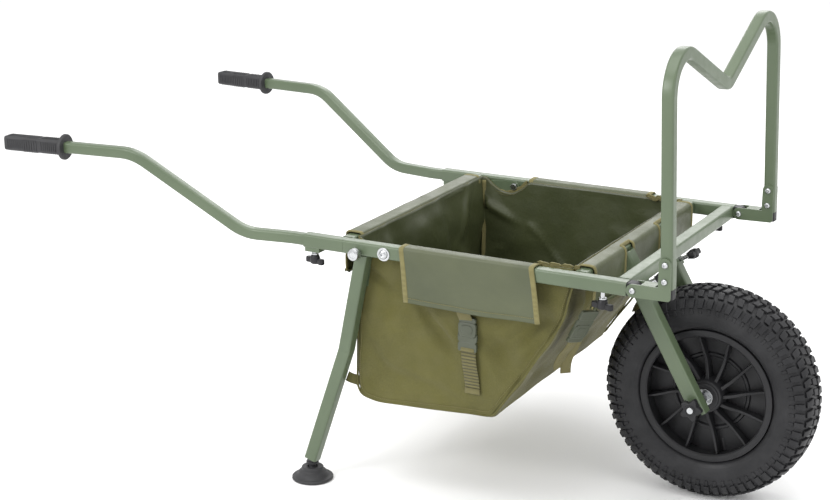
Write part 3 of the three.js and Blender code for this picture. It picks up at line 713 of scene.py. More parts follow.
def grip_rib(name, place, distance, face, slant, body):
    """A raised bar across one of the grip's four faces."""
    half, wide = RIB_LENGTH / 2, RIB_HALF
    outline = [(-half + slant, -wide), (half + slant, -wide), (half - slant, wide), (-half - slant, wide)]
    turn = place @ Matrix.Rotation(math.pi / 2 * face, 4, "Z")
    turn = turn @ Matrix.Translation((0, GRIP_CORE / 2 * MM, distance * MM))
    turn = turn @ Matrix.Rotation(math.pi / 2, 4, "X") @ Matrix.Scale(-1, 4, Vector((0, 0, 1)))
    points = [(x * MM, y * MM) for x, y in outline]
    return extruded(name, points, -0.0005, 0.0011, turn, RUBBER, body, 0.0004, 2)


def grip_core(name, place, front, body):
    stations = [(front + 1, 0.93), (front + 2.5, 1.0), (2.4, 1.0), (4.4, 0.95), (GRIP_END, 0.84)]
    section = rounded_square(GRIP_CORE, 5)
    count = len(section)
    points = [place @ Vector((x * grow * MM, y * grow * MM, z * MM))
              for z, grow in stations for x, y in section]
    faces = grid_faces(len(stations), count, False, True)
    first_of_last = (len(stations) - 1) * count
    faces += [tuple(reversed(range(count))), tuple(range(first_of_last, first_of_last + count))]
    return sharpen(clean(mesh_object(name, points, faces, RUBBER, body)), 50)


def grips():
    flange = [(0.010, 0), (0.0235, 0), (0.0248, 0.0016), (0.0248, 0.0050), (0.0225, 0.0066), (0.0160, 0.0078),
              (0.010, 0.0078)]
    front = GRIP_END - GRIP_LENGTH
    for hand, side in SIDES:
        node = f"grip_{hand}"
        body = body_of_node(node)
        end = at(HANDLE_END[0], side * HANDLE_END[1], HANDLE_END[2])
        knee = at(HANDLE_KNEE[0], side * HANDLE_KNEE[1], HANDLE_KNEE[2])
        back = (end - knee).normalized()
        place = place_at(end, back, Z)
        ring = turned(f"{node}_flange", flange, end + back * front * MM, back, RUBBER, body, 48)
        parts = [grip_core(f"{node}_core", place, front, body), sharpen(ring, 40)]
        for face in range(4):
            for i in range(8):
                parts.append(grip_rib(f"{node}_rib", place, front + 17 + i * 4.6, face, 0, body))
                parts.append(grip_rib(f"{node}_rib", place, -3.5 - i * 4.6, face, 0, body))
            for i in range(6):
                parts.append(grip_rib(f"{node}_slant", place, front + 60 + i * 5.4, face, 3.5, body))
        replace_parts(joined(f"{node}_finish", parts), node)


# ---- wheel ----
TYRE_LINE = [(127.5, 37), (131, 41.5), (138, 45.2), (150, 48.6), (162, 49.6), (172, 48.4), (180, 45),
             (186.5, 39.5), (191, 31), (193.6, 20), (194.6, 9), (194.8, 0)]
TREAD_PITCHES = 64


def tyre_line():
    """(radius, across) points from the left bead over the crown to the right bead."""
    half = [Vector((r, y, 0)) for r, y in TYRE_LINE]
    mirrored = [Vector((r, -y, 0)) for r, y in TYRE_LINE[:-1]]
    return smooth_path(half + list(reversed(mirrored)), 5)


def ring_ridge(radius):
    """Height of the moulded ridges on the sidewall."""
    return sum(0.9 * math.exp(-((radius - r) / 0.9) ** 2) for r in (137, 141.5, 166, 174.5))


def tyre_point(line, angle, place, lift=0.0):
    """Point on the tyre: place is -1 at the right bead and 1 at the left one, lift is along the normal."""
    index = (1 - place) / 2 * (len(line) - 1)
    i = min(max(int(index), 0), len(line) - 2)
    here = line[i].lerp(line[i + 1], index - i)
    ahead = (line[i + 1] - line[i]).normalized()
    out = Vector((-ahead.y, ahead.x, 0))
    out = out if out.x * 1.0 + (out.y * here.y) / 60 > 0 else -out
    here = here + out * lift
    return WHEEL + Vector((math.cos(angle) * here.x, here.y, math.sin(angle) * here.x)) * MM


def tyre_carcass():
    line = tyre_line()
    segments = 160
    points = []
    for s in range(segments):
        angle = 2 * math.pi * s / segments
        for p in line:
            extra = ring_ridge(p.x)
            y = p.y + math.copysign(extra, p.y)
            points.append(WHEEL + Vector((math.cos(angle) * p.x, y, math.sin(angle) * p.x)) * MM)
    obj = mesh_object("tyre_carcass", points, grid_faces(segments, len(line), True, True), TYRE, "wheel")
    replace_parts(clean(obj), "tyre")


# Blocks of one tread pitch: start and end round the tyre (in pitches), the same across it, and their skew.
LUGS = [
    (0.05, 0.70, 0.03, 0.17, 0.22, 5.0),
    (0.55, 1.20, -0.17, -0.03, -0.22, 5.0),
    (0.10, 0.72, 0.20, 0.35, -0.20, 4.8),
    (0.60, 1.22, -0.35, -0.20, 0.20, 4.8),
    (0.02, 0.66, 0.385, 0.56, 0.10, 4.2),
    (0.52, 1.16, -0.56, -0.385, -0.10, 4.2),
    (0.14, 0.52, 0.565, 0.655, 0.0, 2.2),
    (0.64, 1.02, -0.655, -0.565, 0.0, 2.2),
]


def tread():
    line = tyre_line()
    pitch = 2 * math.pi / TREAD_PITCHES
    points, faces = [], []
    rows = 3
    for n in range(TREAD_PITCHES):
        for start, end, low, high, skew, height in LUGS:
            first = len(points)
            for lift in (-0.8, height):
                inset = 0.02 if lift > 0 else 0.0
                for k in range(rows + 1):
                    t = k / rows
                    place = low + (high - low) * t
                    for edge in (start + inset, end - inset):
                        points.append(tyre_point(line, (n + edge + skew * t) * pitch, place, lift))
            top = first + 2 * (rows + 1)
            for k in range(rows):
                a, b = top + 2 * k, first + 2 * k
                faces += [(a, a + 1, a + 3, a + 2), (b, b + 2, a + 2, a), (b + 1, a + 1, a + 3, b + 3)]
            last = 2 * rows
            faces += [(first, first + 1, top + 1, top),
                      (first + last, top + last, top + last + 1, first + last + 1)]
    obj = mesh_object("tyre_tread", points, faces, TYRE, "wheel")
    shape = bmesh.new()
    shape.from_mesh(obj.data)
    bmesh.ops.recalc_face_normals(shape, faces=shape.faces)
    shape.to_mesh(obj.data)
    shape.free()
    round_edges(obj, 0.0007, 1, 40)
    sharpen(obj, 30)


SPOKES = 12


def rim_blade(index):
    """Deep, thin, slightly curved rib from the hub to the barrel."""
    start = 2 * math.pi * index / SPOKES
    steps = 10
    points = []
    for k in range(steps + 1):
        t = k / steps
        radius = 27 + (117 - 27) * t
        angle = start + 0.20 * math.sin(math.pi * t * 0.5)
        half = along([(0, 33), (0.45, 20), (1, 27)], t)
        thick = along([(0, 3.4), (1, 2.2)], t)
        out = Vector((math.cos(angle), 0, math.sin(angle)))
        round_it = Vector((-math.sin(angle), 0, math.cos(angle)))
        for y, w in ((-half, -thick), (-half, thick), (half, thick), (half, -thick)):
            points.append(WHEEL + (out * radius + round_it * w + Y * y) * MM)
    faces = grid_faces(steps + 1, 4, False, True) + [(3, 2, 1, 0), tuple(steps * 4 + i for i in range(4))]
    blade = clean(mesh_object("rim_blade", points, faces, PLASTIC, "wheel"))
    return sharpen(round_edges(blade, 0.0011, 2), 40)


def rim():
    barrel = [(126.6, -37), (126.6, 37), (125.5, 40.5), (121.0, 41.6), (115.0, 40.6), (112.6, 38.2),
              (112.4, 35), (116.5, 26), (117.8, 0), (116.5, -26), (112.4, -35), (112.6, -38.2),
              (115.0, -40.6), (121.0, -41.6), (125.5, -40.5)]
    hub = [(16.6, 45), (24, 45), (26.2, 43.6), (26.8, 41), (30, 40), (31.5, 37.5), (33, 14), (33, -14),
           (31.5, -37.5), (30, -40), (26.8, -41), (26.2, -43.6), (24, -45), (16.6, -45)]
    web = [(31, 4.5), (66, 3.2), (69, 6.5), (73, 6.5), (75, 3.0), (117.4, 2.6), (117.4, -2.6), (75, -3.0),
           (73, -6.5), (69, -6.5), (66, -3.2), (31, -4.5)]
    parts = []
    for name, line in (("barrel", barrel), ("hub", hub), ("web", web)):
        profile = [(r * MM, y * MM) for r, y in line]
        parts.append(sharpen(turned(f"rim_{name}", profile, WHEEL, Y, PLASTIC, "wheel", 96), 32))
    parts += [rim_blade(i) for i in range(SPOKES)]
    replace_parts(joined("rim_finish", parts), "rim")


# ---- cloth finishes ----
WEAVE_SCALE = 300.0
TAPE_WEAVE_SCALE = 420.0
RIB_SCALE = 52.0  # makes ribs about 6 mm apart


def weave(kit, scale, depth):
    """Crossing threads as bump, the same on every side of the bag."""
    bands = []
    for direction in ("X", "Y", "Z"):
        wave = kit.add("ShaderNodeTexWave", Vector=kit.coordinates, Scale=scale, Distortion=0.6)
        wave.bands_direction = direction
        bands.append(wave.outputs["Fac"])
    threads = kit.math("MULTIPLY", kit.math("ADD", kit.math("ADD", bands[0], bands[1]), bands[2]), 0.4)
    kit.bump(threads, depth, 0.7)
    return threads


def bag_cloth():
    kit = Nodes("bag_cloth", "bag_cloth", (0.11, 0.1, 0.028), 0.84, Sheen_Weight=0.08, Sheen_Roughness=0.5)
    threads = weave(kit, WEAVE_SCALE, 0.00018)
    patches = kit.patches(9.0, detail=5.0, roughness=0.6)
    tone = kit.blend(patches, (0.062, 0.058, 0.01), (0.096, 0.089, 0.017))
    fleck = kit.ramp(kit.noise(520.0, 2.0, 0.7), 0.35, 0.7)
    color = kit.blend(kit.math("MULTIPLY", fleck, 0.35), tone, (0.15, 0.139, 0.036))
    color = kit.blend(kit.math("MULTIPLY", threads, 0.16), color, (0.052, 0.05, 0.014))
    kit.bump(kit.noise(38.0, 4.0), 0.0016, 0.5)
    return kit.finish(color, kit.patches(30.0, 0.74, 0.9))


def coated(kit, thread_depth, patch_scale, tones, thread_share, gap, creases, gloss):
    """Coated cloth: faint threads, soft patches, and creases given as a scale, a depth and a strength."""
    threads = weave(kit, WEAVE_SCALE, thread_depth)
    tone = kit.blend(kit.patches(patch_scale), *tones)
    color = kit.blend(kit.math("MULTIPLY", threads, thread_share), tone, gap)
    scale, depth, strength = creases
    kit.bump(kit.noise(scale, 5.0, 0.6), depth, strength)
    return kit.finish(color, kit.patches(*gloss))


def bag_lining():
    kit = Nodes("bag_lining", "bag_cloth", (0.06, 0.066, 0.032), 0.4, Coat_Weight=0.25, Coat_Roughness=0.35)
    return coated(kit, 0.00006, 7.0, ((0.042, 0.05, 0.019), (0.064, 0.074, 0.03)), 0.2,
                  (0.03, 0.035, 0.013), (30.0, 0.0022, 0.7), (22.0, 0.34, 0.52))


def flap_cloth():
    kit = Nodes("flap_cloth", "flap_cloth", (0.1, 0.115, 0.062), 0.44, Coat_Weight=0.15, Coat_Roughness=0.4)
    return coated(kit, 0.00009, 8.0, ((0.05, 0.06, 0.025), (0.076, 0.087, 0.039)), 0.18,
                  (0.05, 0.058, 0.028), (34.0, 0.0018, 0.6), (26.0, 0.42, 0.6))


def webbing(name, low, high, ribs=None):
    """Woven tape. ribs is the direction that its coarse ribs follow one another in, if it has any; the
    grooves between the ribs then get painted shade.
    """
    kit = Nodes(name, "webbing", high, 0.8, Sheen_Weight=0.05, Sheen_Roughness=0.5)
    threads = weave(kit, TAPE_WEAVE_SCALE, 0.00022)
    color = kit.blend(threads, low, high)
    if ribs:
        wave = kit.add("ShaderNodeTexWave", Vector=kit.coordinates, Scale=RIB_SCALE)
        wave.bands_direction = ribs
        # painted shade: the grooves between the ribs, where the bump below is low, are darkened towards
        # (0.06, 0.055, 0.025)
        color = kit.blend(kit.ramp(wave.outputs["Fac"], 0.1, 0.6), (0.06, 0.055, 0.025), color)
        kit.bump(wave.outputs["Fac"], 0.0012, 0.9)
    return kit.finish(color, kit.patches(60.0, 0.7, 0.88))


# ---- bag ----
BAG_HALF = 261.0
BAG_TOP = 478.0
BAG_LOW = 183.0  # the walls turn into the floor here
BAG_CORNER = 9.0
RIM_REAR, RIM_LENGTH = -39, 429  # x of the rim's rear end, and the rim's length
DIP_REAR, DIP_LENGTH, DIP_DEPTH = -36, 98, 27  # the dip in the side walls' rim
RIM_BELOW_TOP = 1.5
WALL_ABOVE_FLOOR = 5
FLOOR_MIDDLE = 100  # x of the place that the floor's rows close in on
FLOOR_EDGE = 0.02  # share of the floor that bends up to the walls
REAR_LINE = [(BAG_LOW, -38), (200, -40.5), (300, -38.5), (438, -37), (480, -39)]  # height, x
FRONT_LINE = [(BAG_LOW, 242), (215, 264), (259, 296), (313, 330), (347, 352), (384, 372), (452, 389),
              (480, 390)]
FLOOR_LINE = [(-38, 176), (-22, 167), (8, 163), (112, 168), (242, 177)]  # x, height
LINING_GAP = 2.6
LEG_PIVOT = (33, 462)  # x, height
HANGER_REACH = 116  # the legs' hanger plates sweep this far from the pivot, close to the side panels
CLEAR_OF_LEG = 3.5  # furthest that a side panel bulges
# Folds of the side panels: x and height of both ends, depth inwards, width.
SIDE_FOLDS = [(70, 392, 142, 306, 13.0, 13), (140, 318, 190, 236, 7.0, 20), (340, 380, 255, 314, 12.0, 14),
              (300, 266, 190, 335, 9.0, 20), (-28, 424, 44, 386, 8.0, 10), (328, 395, 306, 330, 6.0, 8),
              (40, 230, 160, 200, 5.0, 18), (296, 282, 330, 340, 7.0, 9), (-6, 316, 62, 372, 7.0, 16),
              (-30, 300, 20, 226, 6.0, 17), (232, 345, 256, 256, 6.0, 16)]
# Folds of the rear and front walls: y and height of both ends, depth, width.
END_FOLDS = [(-170, 470, -120, 330, 8.0, 15), (40, 470, 80, 300, 6.0, 20), (190, 475, 150, 380, 7.0, 12),
             (-230, 300, -120, 230, 6.0, 18), (-60, 300, 60, 240, 5.0, 22), (120, 360, 210, 280, 6.0, 14)]


def fold_depth(folds, a, b):
    """Depth of the folds at a place on a wall."""
    total = 0.0
    here = Vector((a, b))
    for a0, b0, a1, b1, depth, width in folds:
        start, run = Vector((a0, b0)), Vector((a1 - a0, b1 - b0))
        t = min(max((here - start).dot(run) / run.length_squared, 0.0), 1.0)
        distance = (here - start - run * t).length
        bell = math.exp(-(distance / width) ** 2)
        total += depth * bell * (0.35 + 0.65 * math.sin(math.pi * (0.15 + 0.7 * t)))
    return total


def cloth_noise(place, scale, seed=0.0):
    return noise.noise(Vector((place.x / scale + seed, place.y / scale, place.z / scale)))


def wall_shift(x, y, z, nx, ny):
    """How far the wall's cloth lies outside its neat shape, in millimetres."""
    place = Vector((x, y, z))
    if abs(ny) > abs(nx):
        folds = fold_depth(SIDE_FOLDS, x, z)
        slack = 8.0 * math.sin(math.pi * min(max((x + 40) / 330, 0), 1)) * smoothstep(BAG_LOW, 260, z)
        lean = place + Vector((place.z * 0.5, 0, 0))
    else:
        folds = fold_depth(END_FOLDS, y, z)
        arch = math.cos(y / 262 * math.pi / 2)
        slack = -7.0 * smoothstep(BAG_LOW, 240, z) * (1 - smoothstep(400, BAG_TOP, z)) * arch
        lean = place + Vector((0, place.z * 0.4, 0))
    ripple = 10 * cloth_noise(lean, 130.0) + 4.0 * cloth_noise(lean, 55.0, 3.0)
    calm = smoothstep(BAG_LOW - 4, BAG_LOW + 40, z) * (1 - 0.7 * smoothstep(440, BAG_TOP, z))
    shift = (ripple + slack - folds) * calm
    if abs(ny) > abs(nx):
        reach = math.hypot(x - LEG_PIVOT[0], z - LEG_PIVOT[1])
        shift = min(shift, CLEAR_OF_LEG * smoothstep(HANGER_REACH, HANGER_REACH + 40, reach))
    return shift


def ring_shape():
    """Once round the bag: (along, across) from -1 to 1 between corner centres, and the outward normal."""
    lengthways, crossways, turn = 52, 84, 5
    corners = [(1, -1, -90), (1, 1, 0), (-1, 1, 90), (-1, -1, 180)]
    ring = []
    for i, (a, b, start) in enumerate(corners):
        before_a, before_b, _ = corners[i - 1]
        count = lengthways if before_b == b else crossways
        normal = Vector((0, b)) if before_b == b else Vector((a, 0))
        for k in range(1, count):
            t = k / count
            ring.append((before_a + (a - before_a) * t, before_b + (b - before_b) * t, normal.x, normal.y))
        for k in range(turn + 1):
            angle = math.radians(start + 90 * k / turn)
            ring.append((a, b, math.cos(angle), math.sin(angle)))
    return ring


def top_height(a, ny):
    """The side walls dip behind the rear tube, where the rails' hardware is."""
    if abs(ny) < 0.5:
        return BAG_TOP
    x = RIM_REAR + (a + 1) / 2 * RIM_LENGTH
    t = (x - DIP_REAR) / DIP_LENGTH
    dip = DIP_DEPTH * math.sin(math.pi * t) ** 0.8 if 0 < t < 1 else 0.0
    return BAG_TOP - RIM_BELOW_TOP - dip


def ring_point(a, b, nx, ny, z, inwards):
    x0, x1 = along(REAR_LINE, z), along(FRONT_LINE, z)
    half = (x1 - x0) / 2
    x = (x0 + x1) / 2 + a * (half - BAG_CORNER) + nx * BAG_CORNER
    y = b * (BAG_HALF - BAG_CORNER) + ny * BAG_CORNER
    shift = wall_shift(x, y, z, nx, ny) - inwards
    return Vector((x + nx * shift, y + ny * shift, z))


def bag_surface(inwards):
    """Rows of points from the rim down the walls and in over the floor."""
    ring = ring_shape()
    levels, floor_rows = 58, 22
    rows = []
    for k in range(levels + 1):
        row = []
        for a, b, nx, ny in ring:
            low = along(FLOOR_LINE, ring_point(a, b, nx, ny, BAG_LOW, 0).x) + WALL_ABOVE_FLOOR
            high = top_height(a, ny)
            row.append(ring_point(a, b, nx, ny, high + (low - high) * k / levels, inwards))
        rows.append(row)
    low = rows[-1]
    for k in range(1, floor_rows + 1):
        shrink = 1 - (k / floor_rows) ** 2
        row = []
        for p in low:
            x, y = FLOOR_MIDDLE + (p.x - FLOOR_MIDDLE) * shrink, p.y * shrink
            floor_z = along(FLOOR_LINE, x) + inwards + 2.5 * cloth_noise(Vector((x, y, 0)), 90.0)
            edge = max(0.0, 1 - (1 - shrink) / FLOOR_EDGE) ** 2
            row.append(Vector((x, y, floor_z + (p.z - floor_z) * edge)))
        rows.append(row)
    return rows


def tidy_cloth(shape):
    bmesh.ops.delete(shape, geom=[v for v in shape.verts if not v.link_faces], context="VERTS")
    bmesh.ops.remove_doubles(shape, verts=shape.verts, dist=MERGE_CLOTH)
    bmesh.ops.recalc_face_normals(shape, faces=shape.faces)


def cloth_object(name, rows, material, thickness, wrap=False, skip=None):
    """Rows of points as cloth of a thickness. skip(row, column) leaves a face out."""
    columns = len(rows[0])
    faces = []
    for face in grid_faces(len(rows), columns, False, wrap):
        if skip is None or not skip(*divmod(face[0], columns)):
            faces.append(face)
    obj = mesh_object(name, [at(*p) for row in rows for p in row], faces, material, "frame")
    reshape(obj.data, tidy_cloth)
    modifier(obj, "SOLIDIFY", thickness=thickness * MM, offset=0)
    return obj


def bag():
    shell = cloth_object("bag_shell", bag_surface(0.0), CLOTH, 1.4, True)
    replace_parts(shell, "bag")
    cloth_object("bag_lining", bag_surface(LINING_GAP), LINING, 0.8, True)


def edge_line(heights, line, y):
    """Points down or up one edge of a side panel."""
    return [Vector((along(line, z), y, z)) for z in heights]


def panel_seam(side):
    """Closed outline of a side panel below the rim, from the front's top round to the rear's top."""
    y = side * (BAG_HALF - 0.3)
    down = edge_line([470, 452, 420, 384, 347, 313, 285, 259, 235, 215, 197], FRONT_LINE, y)
    floor_points = [Vector((x, y, along(FLOOR_LINE, x) + 3)) for x in (236, 200, 150, 100, 50, 8, -16)]
    up = edge_line([186, 200, 240, 300, 360, 400, 438], REAR_LINE, y)
    corner = [Vector((-31, y, 174.5))]
    return smooth_path(down + floor_points + corner + up, 4)


def panel_y(side, x, z):
    """Where the outside of a side panel is at a place."""
    return side * (BAG_HALF + 0.7 + wall_shift(x, side * BAG_HALF, z, 0, side))


def on_panel(side, point, towards_middle, lift):
    """The point moved towards the panel's middle and then out onto its surface."""
    middle_of_panel = Vector((150, point.y, 310))
    moved = point + (middle_of_panel - point).normalized() * towards_middle
    return Vector((moved.x, panel_y(side, moved.x, moved.z) + side * lift, moved.z))


def seams():
    for hand, side in SIDES:
        line = [at(*p) for p in panel_seam(side)]
        inner = [at(*on_panel(side, p, 9.0, 0.9)) for p in panel_seam(side)]
        sweep(f"bag_piping_{hand}", line, Y * side, oval(4.2, 3.6), CLOTH, "frame")
        stitches(f"bag_seam_stitches_{hand}", inner, Y * side)


def stitches(name, path, normals):
    """Dashes of thread along a path."""
    step, length, width, height = 4.2 * MM, 2.7 * MM, 0.8 * MM, 0.5 * MM
    section = [(-width / 2, -height), (width / 2, -height), (width / 3, height), (-width / 3, height)]
    box_faces = ((0, 1, 2, 3), (7, 6, 5, 4), (0, 4, 5, 1), (1, 5, 6, 2), (2, 6, 7, 3), (3, 7, 4, 0))
    if isinstance(normals, Vector):
        normals = [normals] * len(path)
    points, faces = [], []
    travelled, due = 0.0, step
    for a, b, normal in zip(path, path[1:], normals):
        run = (b - a).length
        if run < 1e-6:
            continue
        ahead = (b - a) / run
        across = normal.cross(ahead).normalized()
        while due <= travelled + run:
            place = a + ahead * (due - travelled)
            first = len(points)
            points += [place + ahead * u + across * v + normal * w
                       for u in (-length / 2, length / 2) for v, w in section]
            faces += [tuple(first + i for i in face) for face in box_faces]
            due += step
        travelled += run
    return mesh_object(name, points, faces, THREAD, "frame", True)


def rim_binding():
    """Folded tape over the side walls' open edges, and inside the upright corner seams."""
    for hand, side in SIDES:
        rear, front = [], []
        for i in range(27):
            x = -34 + DIP_LENGTH * i / 26
            z = top_height((x - RIM_REAR) / RIM_LENGTH * 2 - 1, 1)
            rear.append(at(x, side * (BAG_HALF - 1.2), z - 2.5 + 0.8 * math.sin(i * 1.3)))
        for i in range(20):
            x = 322 + 76 * i / 19
            wave = 1.6 * math.sin(i * 1.1) + 0.9 * math.sin(i * 2.3)
            front.append(at(x, side * (BAG_HALF - 1.5 - 8 * i / 19 + 0.7 * wave), BAG_TOP - 1 + wave))
        sweep(f"rear_dip_binding_{hand}", rear, Z, tape(4.4, 9.5), BINDING, "frame")
        sweep(f"front_corner_binding_{hand}", front, Z, tape(5.0, 9.0), BINDING, "frame")
        seam = [at(along(REAR_LINE, z) + 6.2, side * (BAG_HALF - 6.2), z) for z in range(190, 474, 14)]
        inwards = Vector((1, -side, 0)).normalized()
        sweep(f"corner_binding_{hand}", smooth_path(seam, 2), inwards, tape(9, 2.4), BINDING, "frame")


def cross_flap(name, section, half, drop, notches=()):
    """Cloth wrapped over a cross tube. section is (x, z) from inside the bag over the tube and down."""
    path = smooth_path([Vector((x, 0, z)) for x, z in section], 6)
    top = max(range(len(path)), key=lambda i: path[i].z)
    columns = 123
    rows = []
    for i, p in enumerate(path):
        loose = smoothstep(top + 4, len(path) - 1, i)
        row = []
        for k in range(columns):
            y = -half + 2 * half * k / (columns - 1)
            out = loose * (1.8 * cloth_noise(Vector((y, p.z, 0)), 55.0, 7.0) + 0.8 * math.sin(y / 31))
            lower = loose * drop * (0.8 * math.sin(y / 62 + 1) + 1.5 * cloth_noise(Vector((y, 0, 0)), 80.0))
            lift = 0.5 * cloth_noise(Vector((y, p.x, 0)), 40.0) * (1 - loose)
            row.append(Vector((p.x + out, y, p.z - lower + lift)))
        rows.append(row)
    pitch = 2 * half / (columns - 1)

    def in_notch(row, column):
        y = abs(-half + pitch * (column + 0.5))
        return row > top + 3 and any(low < y < high for low, high in notches)
    obj = cloth_object(name, rows, FLAP, 1.5, False, in_notch)
    for column, sign in ((0, -1), (columns - 1, 1)):
        edge = [at(*(row[column] - Vector((0, sign * 2.5, 0)))) for row in rows]
        normals = outward_normals(edge)
        sweep(f"{name}_end_binding_{column}", edge, normals, tape(9, 3.2), BINDING, "frame")
    hem = [at(*p) for p in rows[-1]]
    for low, high in ([(0, columns)] if not notches else hem_runs(notches, half, columns)):
        sweep(f"{name}_hem_{low}", hem[low:high], X, tape(2.6, 9), FLAP, "frame")
    for low, high in notches:
        for side in (-1, 1):
            notch_binding(name, rows, top + 3, side, low, high, half, pitch)


def hem_runs(notches, half, columns):
    """Column ranges of a hem between its notches."""
    pitch = 2 * half / (columns - 1)
    stops = sorted([-half, half] + [sign * edge for pair in notches for edge in pair for sign in (-1, 1)])
    runs = list(zip(stops[::2], stops[1::2]))
    return [(max(round((a + half) / pitch), 0), min(round((b + half) / pitch) + 1, columns)) for a, b in runs]


def notch_binding(name, rows, start, side, low, high, half, pitch):
    """Tape round the three closed edges of a notch."""
    near, far = (round((side * edge + half) / pitch) for edge in (low, high))
    first, last = min(near, far), max(near, far)
    path = [rows[r][first] for r in range(len(rows) - 1, start, -1)]
    path += [rows[start][c] for c in range(first, last + 1)]
    path += [rows[r][last] for r in range(start + 1, len(rows))]
    line = [at(*(p + Vector((0.6, 0, 0)))) for p in path]
    normals = [Vector((0.9, 0, 0.45)).normalized()] * len(line)
    return sweep(f"{name}_notch_{side}", line, normals, tape(8, 3.4), BINDING, "frame")


def outward_normals(edge):
    """Normals in the XZ plane, away from the middle of the wrapped tube."""
    normals = []
    for i, p in enumerate(edge):
        ahead = edge[min(i + 1, len(edge) - 1)] - edge[max(i - 1, 0)]
        normals.append(ahead.cross(Y).normalized())
    return normals


REAR_WRAP = [(-36.8, 466), (-37.2, 472), (-40, 479.2), (-47, 480.6), (-62, 480.6), (-69, 479),
             (-71.5, 472), (-71.5, 450), (-72.5, 425), (-71.5, 403)]
FRONT_WRAP = [(388.4, 466), (389.5, 472), (393.5, 479.3), (400, 480.8), (412, 480.8), (418.5, 479),
              (421.6, 472), (422, 455), (421, 430), (418.5, 404)]
SOCKET_NOTCH = (64, 104)


def folds_with_leg(obj):
    """Gives a flap or strap piece a copy of its mesh of its own."""
    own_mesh(obj)
    return obj


# Across the rail from the inside outwards: distance from the middle of the barrow, height.
FLAP_SECTION = [(264.0, 452), (264.2, 466), (264.6, 474), (266.8, 478.4), (271, 479.5), (279, 479.8),
                (287, 479.6), (291.8, 477.8), (293.2, 472), (293.5, 450), (293.9, 425), (294.6, 403),
                (295.6, 381)]
FLAP_TOP_X = (66, 326)
FLAP_SKEW = 15.0  # the hem hangs this much further forward than the top


def side_flap(hand, side):
    path = smooth_path([Vector((0, y, z)) for y, z in FLAP_SECTION], 5)
    top = max(range(len(path)), key=lambda i: path[i].z)
    columns = 72
    rows = []
    for i, p in enumerate(path):
        hang = smoothstep(top + 12, len(path) - 1, i)
        loose = (480 - p.z) / 99 if i > top else 0.0
        row = []
        for k in range(columns):
            t = k / (columns - 1)
            x = FLAP_TOP_X[0] + (FLAP_TOP_X[1] - FLAP_TOP_X[0]) * t
            x += FLAP_SKEW * loose + (t - 0.5) * 4 * loose
            ripple = 2.4 * cloth_noise(Vector((x + p.z * 0.4, 0, p.z)), 60.0) * loose
            billow = 3.2 * math.sin(math.pi * t) * hang + ripple
            curl = 2.5 * (abs(2 * t - 1) ** 6) * hang
            dip = 2.2 * math.sin(math.pi * t) * hang
            row.append(Vector((x, side * (p.y + billow + curl), p.z - dip)))
        rows.append(row)
    obj = cloth_object(f"side_flap_cloth_{hand}", rows, FLAP, 1.5)
    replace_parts(obj, f"side_flap_{hand}")
    pieces = []
    for column, inward in ((0, 4), (columns - 1, -4)):
        edge = [at(*(row[column] + Vector((inward * 0.8, 0, 0)))) for row in rows]
        normals = [(edge[min(i + 1, len(edge) - 1)] - edge[max(i - 1, 0)]).cross(X).normalized() * side
                   for i in range(len(edge))]
        name = f"side_flap_binding_{hand}_{column}"
        pieces.append(sweep(name, edge, normals, tape(10.5, 3.0), BINDING, "frame"))
        for offset in (-3.2, 3.2):
            raised = [p + n * 1.5 * MM + X * offset * MM for p, n in zip(edge, normals)]
            name = f"side_flap_stitch_{hand}_{column}_{'ab'[offset > 0]}"
            pieces.append(stitches(name, raised, normals))
    hem = [at(*(p + Vector((0, side * 1.2, 9)))) for p in rows[-1]]
    pieces.append(stitches(f"side_flap_hem_stitch_{hand}", hem, Y * side))
    for piece in [obj] + pieces:
        folds_with_leg(piece)


# ---- straps and buckles ----
# Half outline in millimetres of each part of a buckle, then its back, front and bevel in metres.
BUCKLE_PARTS = {
    "socket": ([(6, -24), (15.5, -23), (17.5, -20), (17.5, -5), (16, 2), (12, 4)], -0.0035, 0.0045, 0.0014),
    "prongs": ([(9, 2), (15.5, 3), (18.5, -3), (19.2, 4), (18.6, 11), (16, 15), (10, 15)],
               -0.0025, 0.0032, 0.0013),
    "ladder": ([(5, 13), (16, 14), (18.5, 17), (18.5, 29), (16.5, 31.5), (5, 32)], -0.003, 0.0036, 0.0013),
    "bar": ([(5, -33), (15, -32.5), (16.5, -30), (16.5, -25), (15, -22), (5, -22)], -0.0028, 0.0034, 0.0012),
    "dome": ([(3, -19), (10, -17), (11.5, -10), (9, -3), (4, -1)], 0.003, 0.0056, 0.0011)}


def buckle(name, place, body, scale=1.0):
    """Side-release buckle about its middle. Local x is across the strap, y up the strap, z outwards."""
    pieces = []
    for part, (half, back, front, bevel) in BUCKLE_PARTS.items():
        right = [(x * scale * MM, y * scale * MM) for x, y in half]
        outline = right + [(-x, y) for x, y in reversed(right)]
        pieces.append(extruded(f"{name}_{part}", outline, back, front, place, BUCKLE, body, bevel))
    return joined(name, pieces)


def strap(name, points, width, normal, material, thickness=2.0):
    path = smooth_path([at(*p) for p in points], 5)
    return sweep(name, path, normal, tape(width, thickness), material, "frame")


# x, distance from the barrow's middle and height of places along the tie and the front straps.
ANCHOR_TIE = [(-60, 265, 206), (-52, 264, 203), (-42, 259, 199), (-36, 256, 196)]
STRAP_TOP = [(419, 216, 414), (413, 219, 404), (404, 222, 390)]
STRAP_LOW = [(379, 221, 338), (366, 214, 318), (349, 203, 298), (336, 190, 276), (333, 182, 263)]
STRAP_END = [(379, 200, 340), (364, 188, 312), (349, 180, 286), (343, 176, 268), (342, 175, 252)]


